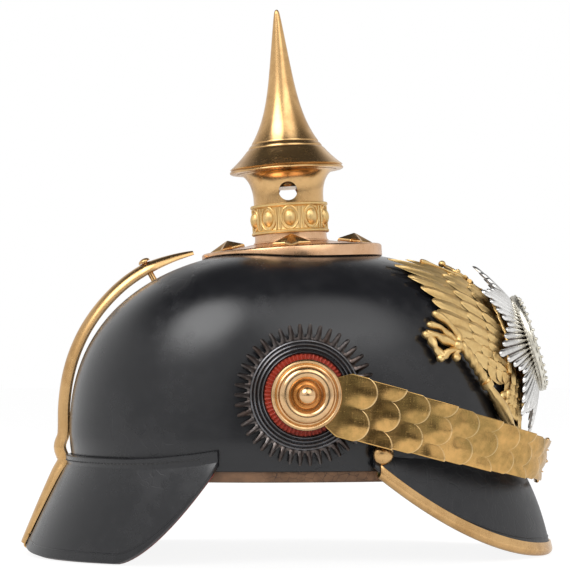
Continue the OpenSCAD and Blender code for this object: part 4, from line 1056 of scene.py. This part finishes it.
def crown_relief():
    """The crowned head above the star, and the ribbons beside it."""
    parts = [plume((0, 118), (0, 134), 15, 2.2, rise=1.0, camber=2.8, quill=0, tail=0.8)]
    for k in range(-2, 3):
        parts.append(small_plume((2.8 * k, 121), (2.2 * k, 130), 4.2, 4.6, 0.3, 0.8))
    parts.append(plume((-3, 130.5), (-11.5, 128.2), 4.6, 3.6, rise=-0.8, camber=2.0, quill=0, rows=10,
                       columns=8))
    for high, half, radius, lift in ((132.8, 8, 1.3, 4.6), (134.6, 8.4, 0.9, 5.2)):
        line = [(-half, high + 0.8), (-4, high + 0.2), (0, high), (4, high + 0.2), (half, high + 0.8)]
        parts.append(skull_rod(line, radius, lift))
    for y, bow in ((-8, -3.4), (-4, -1.6), (0, 0), (4, 1.6), (8, 3.4)):
        parts.append(skull_rod([(y, 135.2), (y + bow, 138), (y * 0.7, 140.2), (0, 141)], 0.9, 4.8, 8, 5))
        parts.append(bead_at("bead", y + bow * 0.9, 137.6, 5.6, (1.1, 1.1, 1.1), 6, 10))
    parts.append(bead_at("orb", 0, 141.8, 5.2, (1.9, 1.9, 1.7), 10, 16))
    for y in (-20, 20):
        ribbon = [(y * 0.35, 135), (y * 0.8, 138.5), (y * 1.15, 142.2), (y * 1.3, 143.6)]
        parts.append(skull_rod(ribbon, lambda t, a: 0.9 + 0.4 * math.sin(9 * t), 3.6, 10, 6))
    return parts


# The sceptre's leaves and blossoms, each as a line of places and its thickness.
SCEPTRE_LEAVES = (
    (((-60, 101.5), (-57.6, 107), (-58.6, 112.5), (-60.4, 117.4)), 2.0),
    (((-59.5, 104), (-61.2, 107.6), (-62.2, 110.6), (-65, 112.3)), 1.8),
    (((-60, 102.5), (-63.2, 104.8), (-65.4, 107.4), (-68.0, 107.6)), 2.3),
    (((-67.2, 107.4), (-67.6, 103.8), (-67.4, 100.6), (-66.6, 97.2)), 2.2),
    (((-60, 101.5), (-63, 100), (-65.4, 98.2), (-67.2, 96.4)), 2.1),
    (((-60, 101.5), (-61.2, 99.2), (-61.8, 96.8)), 2.2),
)


def sceptre():
    def twisted(t, a):
        return 2.3 + 0.45 * math.cos(3 * a + 46 * t)

    def shaft(t, a):
        swell = 1.5 * math.sin(math.pi * held(t * 1.15)) ** 2
        return 1.6 + swell + 1.2 * math.exp(-(((t - 0.9) / 0.05) ** 2)) + 0.12 * math.cos(8 * a)

    parts = [skull_rod([(-58.8, 103), (-55.7, 94.6), (-52.3, 86.7), (-50.9, 84)], twisted, 4.0, 18, 14),
             skull_rod([(-51.6, 85.6), (-50.3, 83)], 3.1, 4.0, 16, 4),
             skull_rod([(-50.4, 83.4), (-44.1, 75), (-35.8, 64.9), (-29.8, 61)], shaft, 4.0, 16, 12)]
    for line, thick in SCEPTRE_LEAVES:
        def lobes(t, a, thick=thick):
            return thick * (0.85 + 0.2 * math.cos(11 * t + 2 * a))

        parts.append(skull_rod(line, lobes, 3.4, 12, 6))
        parts.append(bead_at("bud", *line[-1], 3.3, (thick, thick, thick * 0.9), 8, 12))
    parts.append(bead_at("boss", -60.2, 102.2, 4.2, (2.8, 2.8, 2.8), 10, 16))
    return parts


def orb():
    return [bead_at("orb", 46, 78, 6.5, (6.4, 6.4, 6.4), 16, 24),
            skull_rod([(46, 84), (46, 88.5)], 1.1, 6.0, 8, 3),
            skull_rod([(43.6, 86.6), (48.4, 86.6)], 1.1, 6.0, 8, 3)]


eagle = wing(-1) + wing(1) + leg(-1) + leg(1) + tail() + body() + crown_relief() + sceptre() + orb()
shown(joined("eagle_relief", eagle), GILT, "eagle_plate", 50)

# Star of rayed silver, bowed over the eagle.
STAR = moved(STAR_X, 0, STAR_Z) @ spun(rad(90 - STAR_LEAN), "Y")


def star_height(r):
    return 18 * (1 - (r / STAR_R) ** 1.6)


def star_place(x, y, lift):
    return STAR @ Vector((x, y, lift + star_height(math.hypot(x, y)) - y * y / 500))


def ray_reach(a):
    near = abs((math.degrees(a) + 22.5) % 45 - 22.5) / 22.5
    return STAR_R * (1 - 0.27 * near ** 0.8)


def ray(k):
    a = TURN * k / STAR_RAYS
    reach = ray_reach(a)
    way = Vector((math.cos(a), math.sin(a)))
    side = Vector((-way.y, way.x))

    def at(u, v):
        r = mixed(9, reach, 1 - (1 - v) ** 1.7)
        t = 2 * u - 1
        wide = math.pi * r / STAR_RAYS * 0.88
        end = math.sqrt(max(0.0, 1 - max(0.0, (r - reach + 2.6) / 2.6) ** 2))
        spot = way * r + side * t * wide * end
        return star_place(spot.x, spot.y, 0.1 + 1.7 * math.sqrt(max(0.0, 1 - t * t)) * (0.25 + 0.75 * end))

    return formed("ray", 8, 14, at)


def star_back(u, v):
    a = TURN * u
    r = mixed(3, ray_reach(a) - 3.5, v)
    return star_place(r * math.cos(a), r * math.sin(a), -0.1)


shown(joined("star_rays", [ray(k) for k in range(STAR_RAYS)]), SILVER, "guard_star", 50)
shown(walled(formed("star_sheet", 128, 8, star_back), 0.5), DARK_SILVER, "guard_star", 35)

# Medallion: a wreath of leaves, a plain band and a bare rosette.
MEDAL = STAR @ moved(0, 0, star_height(23) + 2.6)
medal_line = [
    (0, 1.6), (12.5, 0.6), (19, -1.6), (21.4, -1.6), (21.6, -1.0), (21.6, 0.0), (21.4, 0.5), (20.6, 1.1),
    (20.2, 1.6), (19.7, 1.9), (19.2, 1.8), (18.8, 1.3), (16, 1.7), (12.9, 2.2), (12.5, 2.7), (12.1, 3.0),
    (11.6, 2.9), (11.2, 2.4), (9.5, 2.6), (6, 2.9), (3, 3.1), (0, 3.1),
]
shown(turned("medallion_disc", medal_line, MEDAL), GILT, "star_medallion", 35)


def medal_leaf(turn, r, lift, size, lean, name="leaf"):
    place = MEDAL @ spun(turn, "Z") @ moved(r, 0, lift) @ spun(lean, "Z")

    def at(u, v):
        t = 2 * u - 1
        wide = size[1] / 2 * math.sin(math.pi * min(1, 0.12 + 0.88 * v)) ** 0.7
        rise = 0.75 * (1 - t * t) - 0.25 * math.exp(-(t / 0.2) ** 2)
        return place @ Vector((t * wide, (v - 0.5) * size[0], rise))

    return formed(name, 6, 8, at)


LEAVES = 30
PETALS = 8
leaves = []
for k in range(LEAVES):
    turn = TURN * k / LEAVES
    leaves.append(medal_leaf(turn, 23.4, 1.5, (6.2, 2.6), rad(-24)))
    leaves.append(medal_leaf(turn + 0.1, 21.4, 2.2, (6.2, 2.6), rad(20)))
    leaves.append(ball("berry", MEDAL @ spun(turn + 0.05, "Z") @ moved(22.4, 0, 3.0), (0.8, 0.8, 0.8), 6, 8))
core = arc(22.6, 0.4, 2.3, 2.2, range(0, 360, 30))
leaves.append(turned("wreath_core", core, MEDAL, 96, closed_profile=True))
shown(joined("medallion_wreath", leaves), PALE_SILVER, "star_medallion", 50)
petals = [medal_leaf(TURN * k / PETALS, 5.4, 2.8, (4.0, 6.6), math.pi / 2, "petal") for k in range(PETALS)]
petals.append(ball("bead", MEDAL @ moved(0, 0, 3.2), (2.2, 2.2, 1.5), 10, 20))
shown(joined("medallion_rosette", petals), GILT, "star_medallion", 50)

# Cockades and strap bosses. In each side's frame x points forward, y up and z out from the head.
SIDE = (moved(COCKADE_X, -side_reach(COCKADE_X, COCKADE_Z) - 1.6, COCKADE_Z) @ spun(rad(COCKADE_YAW), "Z")
        @ spun(rad(90), "X"))
EDGE_LINE = [(2.8, 0.0), (30.6, 0.0), (33.0, 0.5), (33.0, 1.1), (31.5, 1.7), (29.0, 1.8), (27.0, 1.6),
             (25.4, 1.0), (22.0, 1.0), (2.8, 1.0), (2.8, 0.0)]
RING_LINE = [(19.2, 1.1), (25.6, 1.1), (25.7, 1.6), (25.4, 2.1), (24.9, 2.3), (24.4, 2.0), (24.2, 1.7),
             (23.9, 2.1), (23.3, 2.5), (22.7, 2.2), (22.4, 1.8), (22.1, 2.2), (21.5, 2.6), (20.9, 2.2),
             (20.6, 2.0), (20.3, 2.5), (19.8, 2.9), (19.4, 2.7), (19.2, 2.4)]
HEART_LINE = [(2.8, 1.1), (19.0, 1.1), (19.0, 2.0), (17.6, 2.6), (15.0, 3.2), (10.0, 3.7), (6.5, 3.9),
              (5.5, 4.2), (5.5, 6.2), (2.8, 6.2), (2.8, 1.1)]


def cockade_edge(u, v):
    """Outer sheet, pressed and cut into narrow blades outside the middle ring."""
    near = abs(2 * ((BLADES * u) % 1) - 1)
    r, z = along_line(EDGE_LINE, v)
    cut = (5.2 * held((0.6 - near) / 0.3) + 1.5 * (1 - near)) * held((r - 27) / 6)
    blade = (near ** 1.5 * 1.6 - 0.9) * held((r - 25.0) / 2.0) if z > 0.8 else 0
    return SIDE @ polar(r - cut, TURN * u, z + blade)


def cockade_heart(u, v):
    """Middle disc, pressed into flutes."""
    a = TURN * u
    r, z = along_line(HEART_LINE, v)
    lift = 0.45 * math.cos(60 * a) * held((r - 7) / 6) if z > 1.9 else 0
    return SIDE @ polar(r, a, z + lift)


BOSS_Z = STRAP_LIFT + SCALE_WALL + 0.3
boss_rise = [(2.5, 0), (15.6, 0), (16.3, 0.4), (16.5, 1.1), (16.2, 1.8), (15.6, 2.2), (14.9, 2.1),
             (14.3, 1.5), (13.8, 1.3), (13.2, 1.6)]
boss_rise += arc(10.2, 1.9, 2.9, 3.1, range(0, 181, 12))
boss_rise += [(6.9, 1.7), (6.6, 2.5), (6.0, 3.0), (5.4, 2.7), (4.9, 2.4)]
boss_rise += arc(0, 2.7, 4.8, 4.8, range(6, 91, 12))
boss_line = [(0, -9.6), (2.5, -9.6)] + raised(boss_rise, BOSS_Z)

shown_twice(formed("right_cockade_edge", 504, 40, cockade_edge), DARK_SILVER, "right_cockade_outer",
            45)
shown_twice(turned("right_cockade_band", RING_LINE, SIDE, 144, closed_profile=True), GREY_SILVER,
            "right_cockade_ring", 40)
shown_twice(formed("right_cockade_heart", 480, 30, cockade_heart), RED_FACE, "right_cockade_core",
            40, left_finish=BLACK_FACE)
shown_twice(turned("right_boss_gilt", boss_line, SIDE, 96), POLISHED, "right_boss", 40)

# Chin strap: lobed scales on leather, each turning on the one behind it.
STRAP = SIDE @ moved(0, 0, STRAP_LIFT) @ spun(rad(-STRAP_SLOPE), "Z")
BENDS = [mixed(3.0, 13.4, i / LINKS) for i in range(LINKS + 1)]
HEADINGS = [sum(BENDS[:i]) for i in range(LINKS + 2)]
RISE = math.atan(SCALE_STEP / PITCH)


def hinge(i):
    """Place of hinge i in the strap's plane, forward and inward."""
    x, y = END_LONG, 0.0
    for k in range(1, i):
        x += PITCH * math.cos(rad(HEADINGS[k]))
        y += PITCH * math.sin(rad(HEADINGS[k]))
    return (x, y) if i else (0.0, 0.0)


def link(i):
    x, y = hinge(i)
    return STRAP @ moved(x, 0, -y) @ spun(rad(HEADINGS[i]), "Y")


def strap_wide(i):
    return mixed(END_WIDE, 20.0, i / LINKS)


def lobe_front(y, w, split):
    """How far a row's lobed edge falls behind its farthest point."""
    r = w / 4 + 0.2
    centres = (-w / 4, w / 4) if split else (-w / 2, 0, w / 2)
    near = min(abs(y - c) for c in centres)
    return r - math.sqrt(max(0.0, r * r - near * near))


def lobe_dome(x, y, w, split, start, front):
    """Height of a scale's lobes over its flat."""
    wave = math.sin if split else math.cos
    flute = wave(TURN * y / w) ** 2
    return 0.62 * flute ** 0.7 * held(start) * (1 - 0.35 * held((x - front + 3) / 3))


def pressed(name, rows, at, closed=False):
    """A scale of sheet brass whose last row of points gets a brighter rim colour: partly wear, partly a
    painted highlight where light catches the edge.
    """
    piece = formed(name, 48, rows, at, closed)
    edge = piece.data.attributes.new("edge", "FLOAT", "POINT")
    count = len(piece.data.vertices)
    for i in range(count - count // (rows + 1), count):
        edge.data[i].value = 0.5
    return eased(walled(piece, SCALE_WALL, 0.0), 0.2, 2, 50)


def lobed(i):
    """A row of scales from behind its hinge to its lobed edge, each lobe a little domed."""
    w, place, split = strap_wide(i), link(i), i % 2 == 0
    angle = rad(BENDS[i - 1]) + (0 if i == 1 else RISE)
    tuck = Vector((math.cos(angle), math.sin(angle)))

    def at(u, v):
        y = mixed(-w / 2, w / 2, u)
        back = min(-SCALE_TUCK, -1.0 - lobe_front(y, w, not split))
        x = mixed(back, PITCH - lobe_front(y, w, split), v)
        if x < 0:
            return place @ Vector((tuck.x * x, y, tuck.y * x - 0.7))
        dome = lobe_dome(x, y, w, split, (x - 0.5) / 5, PITCH)
        return place @ Vector((x, y, SCALE_STEP * min(1.0, x / PITCH) + dome - 0.7))

    return pressed(f"right_scale_brass_{i}", 18, at)


for i in range(1, LINKS + 1):
    shown_twice(lobed(i), SCALE_BRASS, f"right_scale_{i}", 40, f"right_link_{i}")


def end_point(u, v):
    """The end plate: a disc under the boss that grows into two lobes."""
    disc, waist, wide = 13.8, 10.8, END_WIDE / 2
    t = 2 * u - 1
    x = mixed(-disc, END_LONG - lobe_front(t * wide, END_WIDE, True), v)
    if x < 0:
        half = math.sqrt(max(0.0, disc ** 2 - x ** 2))
    elif x < 10.5:
        half = mixed(disc, waist, held(x / 10.5))
    else:
        half = mixed(waist, wide, held((x - 10.5) / 7.5))
    y = t * half
    dome = lobe_dome(x, y, END_WIDE, True, (x - 17) / 6, END_LONG)
    return STRAP @ Vector((x, y, SCALE_WALL / 2 + dome))


shown_twice(pressed("right_end_brass", 48, end_point, True), SCALE_BRASS, "right_end_plate", 40,
            "right_end_link")

# Leather behind the scales, in strips, each shaped with a kink across its hinge. Each stop is its depth and
# half width.
STOPS = [(0.35, 9.5)] + [(1.95, strap_wide(max(i, 1)) / 2 - 1) for i in range(1, LINKS + 1)]


def strap_spot(s):
    """The leather's outer face and half width, with s counted in hinges."""
    i = min(int(s), LINKS - 1)
    ends = []
    for k in (i, i + 1):
        x, y = hinge(k) if k else (13.9, 0.0)
        h = rad((HEADINGS[max(k - 1, 0)] + HEADINGS[k]) / 2)
        step, half = STOPS[k]
        ends.append((x - math.sin(h) * step, y + math.cos(h) * step, half))
    return along_line(ends, s - i)


def strap_strip(name, start, end):
    def at(u, v):
        x, y, half = strap_spot(mixed(start, end, v))
        return STRAP @ Vector((x, mixed(-half, half, u), -y))

    return walled(formed(name, 12, 16, at, False), 1.5, 1.0)


for side in ("right", "left"):
    for i in range(1, LINKS + 1):
        strip = strap_strip(f"{side}_strap_strip_{i}", 0.0 if i == 1 else i - 0.5, min(i + 0.5, LINKS))
        if side == "left":
            flip_side(strip)
        finished(strip, STRAP_SKIN, 40)
        flip = Vector((1, 1 if side == "right" else -1, 1))
        pivot = link(i).translation * flip * MM
        way = (link(i).to_3x3() @ Vector((1, 0, 0))) * flip * MM
        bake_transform(strip)
        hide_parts(f"{side}_strap_leather")

# Buckle with its prong on the right half, and the leather tongue on the left one.
BUCKLE = link(LINKS + 1)
BUCKLE_UP = BUCKLE.to_3x3() @ Vector((0, 0, 1))
BUCKLE_SIDE = BUCKLE.to_3x3() @ Vector((0, 1, 0))
TONGUE_LONG = BUCKLE_LONG - 0.4
FRAME_FAR = TONGUE_LONG - 1.0
FRAME_NEAR = FRAME_FAR - 15
FRAME_HALF = 10.5
WIRE_Z = 1.0 - SCALE_STEP


def buckle_frame():
    """A closed wire with wide corners at its far end and narrow ones at its near end."""
    corners = ((FRAME_FAR, 2.6, 0), (FRAME_NEAR, 0.8, 90), (FRAME_NEAR, 0.8, 180), (FRAME_FAR, 2.6, 270))
    line = []
    for x, r, start in corners:
        x += r if x == FRAME_NEAR else -r
        y = FRAME_HALF - r if start < 180 else r - FRAME_HALF
        line += [(*p, WIRE_Z) for p in arc(x, y, r, r, range(start, start + 91, 15))]
    full = []
    for p, q in zip(line, line[1:] + line[:1]):
        steps = 4 if math.dist(p, q) > 2 else 1
        full += [BUCKLE @ Vector(p).lerp(Vector(q), k / steps) for k in range(steps)]
    return rod("frame", full, 1.0, 14, True, BUCKLE_UP)


def tucked(name, long, wall, drop, slope, taper=0.0):
    """A flat end piece whose root is tucked under the last scale."""
    angle = rad(BENDS[LINKS]) + RISE

    def at(u, v):
        x = mixed(-SCALE_TUCK, long, v)
        y = mixed(-9, 9, u) * (1 - taper * held((x - long + 8) / 8) ** 2)
        if x < 0:
            return BUCKLE @ Vector((math.cos(angle) * x, y, drop + math.sin(angle) * x))
        return BUCKLE @ Vector((x, y, drop + slope * x / long))

    return eased(walled(formed(name, 12, 24, at, False), wall, 0.0), 0.15, 2, 50)


def wire_loop(y, r, angles):
    """A ring of points round the frame's near bar."""
    return [BUCKLE @ Vector((x, y, z)) for x, z in arc(FRAME_NEAR, WIRE_Z, r, r, angles)]


buckle = [tucked("chape", FRAME_NEAR - 0.6, SCALE_WALL, -0.7, 0.0)]
for y in (-5.5, 5.5):
    buckle.append(rod("loop", wire_loop(y, 1.55, range(0, 360, 20)), 0.35, 8, True, BUCKLE_SIDE))
buckle.append(buckle_frame())
shown(joined("buckle_brass", buckle), BRASS, "buckle", 40, "right_buckle_end")

prong_line = flowing([(FRAME_NEAR, 0, WIRE_Z + 1.45), (FRAME_NEAR + 4, 0, WIRE_Z + 1.6),
                      (FRAME_NEAR + 10, 0, WIRE_Z + 1.6), (FRAME_FAR + 0.4, 0, WIRE_Z + 1.5)], 6)


def prong_radius(t, a):
    return 0.55 + 0.75 * (1 - t) * abs(math.cos(a))


def eye_radius(t, a):
    return 0.35 + 1.05 * abs(math.cos(a)) ** 1.5


prong = [rod("tongue", [BUCKLE @ p for p in prong_line], prong_radius, 12, False, BUCKLE_UP),
         rod("eye", wire_loop(0, 1.5, range(0, 360, 15)), eye_radius, 12, True, BUCKLE_SIDE)]
shown(joined("prong_brass", prong), BRASS, "buckle_prong", 40, "prong")

tongue = tucked("tongue_leather", TONGUE_LONG, 1.1, -0.95, -0.25, 0.25)
flip_side(tongue)
shown(tongue, STRAP_SKIN, "billet", 40, "left_buckle_end")

# Fixings inside the skull keep their solids.
for name in ("stud_washers", "stud_nuts", "plate_nuts", "boss_washers", "boss_nuts", "neck_socket"):
    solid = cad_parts[name]
    solid.data.materials.clear()
    solid.data.materials.append(BRASS)
    for face in solid.data.polygons:
        face.material_index = 0


# Room, light and camera, in metres.
def pale_floor():
    """A floor that looks white and keeps the shadow. Reflections see it darker far away."""
    clear_choice()
    bpy.ops.mesh.primitive_plane_add(size=14, location=(0, 0, 0))
    floor = bpy.context.active_object
    floor.name = "studio_floor"
    for point in floor.data.vertices:
        point.co.z = 0
    finish, graph, _, place = new_finish("pale_floor", Base_Color=(0.86, 0.86, 0.86, 1), Roughness=0.9)
    ray_kind = graph.add("LightPath").outputs
    glow = graph.add("Emission", {"Color": (1, 1, 1, 1), "Strength": 1.12}).outputs[0]
    shade = graph.add("Emission", {"Strength": 0.08}).outputs[0]
    mirror = graph.math("MAXIMUM", ray_kind["Is Glossy Ray"], ray_kind["Is Transmission Ray"])
    share = graph.math("MAXIMUM", graph.times(ray_kind["Is Camera Ray"], 0.8), graph.times(mirror, 0.3))
    base = graph.nodes["Principled BSDF"].outputs[0]
    lit = graph.add("MixShader", {"Fac": share, 1: base, 2: glow}).outputs[0]
    depth = graph.add("SeparateXYZ", {0: place}).outputs["Y"]
    far = graph.times(ray_kind["Is Glossy Ray"], graph.ranged(depth, -1.4, -0.5, 0.85, 0.0))
    surface = graph.add("MixShader", {"Fac": far, 1: lit, 2: shade}).outputs[0]
    graph.feed(graph.nodes["Material Output"].inputs["Surface"], surface)
    floor.data.materials.append(finish)


# Soft boxes that shiny pieces see: direction, power and the range over which the box fades in.
BOXES = (((-0.45, -0.52, 0.73), 5.0, (0.88, 0.985)), ((0.36, -0.60, 0.71), 1.9, (0.84, 0.98)))


def sky():
    """White to the camera. Shiny pieces see soft boxes, a dark ceiling and a dark gap behind the camera."""
    world = bpy.data.worlds.new("studio")
    bpy.context.scene.world = world
    world.use_nodes = True
    graph = Graph(world.node_tree)
    ray_kind = graph.add("LightPath").outputs
    way = graph.add("TexCoord").outputs["Generated"]
    glow = graph.ranged(graph.add("SeparateXYZ", {0: way}).outputs["Z"], 0.4, 0.82, 0.85, 0.07)
    for direction, power, edge in BOXES:
        box = graph.math("POWER", graph.ranged(graph.toward(way, direction), *edge), 1.6)
        glow = graph.math("ADD", glow, graph.times(box, power))
    gap = graph.ranged(graph.toward(way, (0.14, -1, -0.06)), 0.90, 0.975, 1.0, 0.1)
    mirror = graph.math("MAXIMUM", ray_kind["Is Glossy Ray"], ray_kind["Is Transmission Ray"])
    light = graph.chosen(mirror, 0.5, graph.times(glow, gap))
    background = graph.nodes["Background"].inputs
    background["Color"].default_value = (1, 1, 1, 1)
    graph.feed(background["Strength"], graph.chosen(ray_kind["Is Camera Ray"], light, 1.0))


def placed_holder(name, data, place):
    holder = bpy.data.objects.new(name, data)
    bpy.context.scene.collection.objects.link(holder)
    holder.location = place
    return holder


def lamp(name, place, size, power):
    light = bpy.data.lights.new(name, "AREA")
    light.shape = "RECTANGLE"
    light.size, light.size_y = size
    light.energy = power
    holder = placed_holder(name, light, place)
    holder.visible_glossy = False
    way = Vector((0, 0, 0.1)) - Vector(place)
    holder.rotation_euler = way.to_track_quat("-Z", "Y").to_euler()


# The camera's picture is 570 pixels wide, and its focal length is 2400 of them.
PICTURE = 570
FOCUS = 2400
SENSOR = 36

pale_floor()
sky()
lamp("key", (-0.9, -1.1, 1.0), (0.7, 0.9), 10)
lamp("fill", (1.1, -0.9, 0.7), (0.6, 0.9), 6)
lamp("top", (0.1, 0.3, 1.4), (0.9, 0.6), 8)
view = bpy.data.cameras.new("camera")
view.sensor_width = SENSOR
view.lens = FOCUS / PICTURE * SENSOR
camera = placed_holder("camera", view, (0, -1.2, 0.09575))
camera.rotation_euler = (math.pi / 2 + math.atan2(75, FOCUS), 0, 0)
bpy.context.scene.camera = camera
bpy.context.scene.view_settings.view_transform = "Standard"

bpy.data.objects.remove(skull_form)
bpy.data.objects.remove(relief_form)
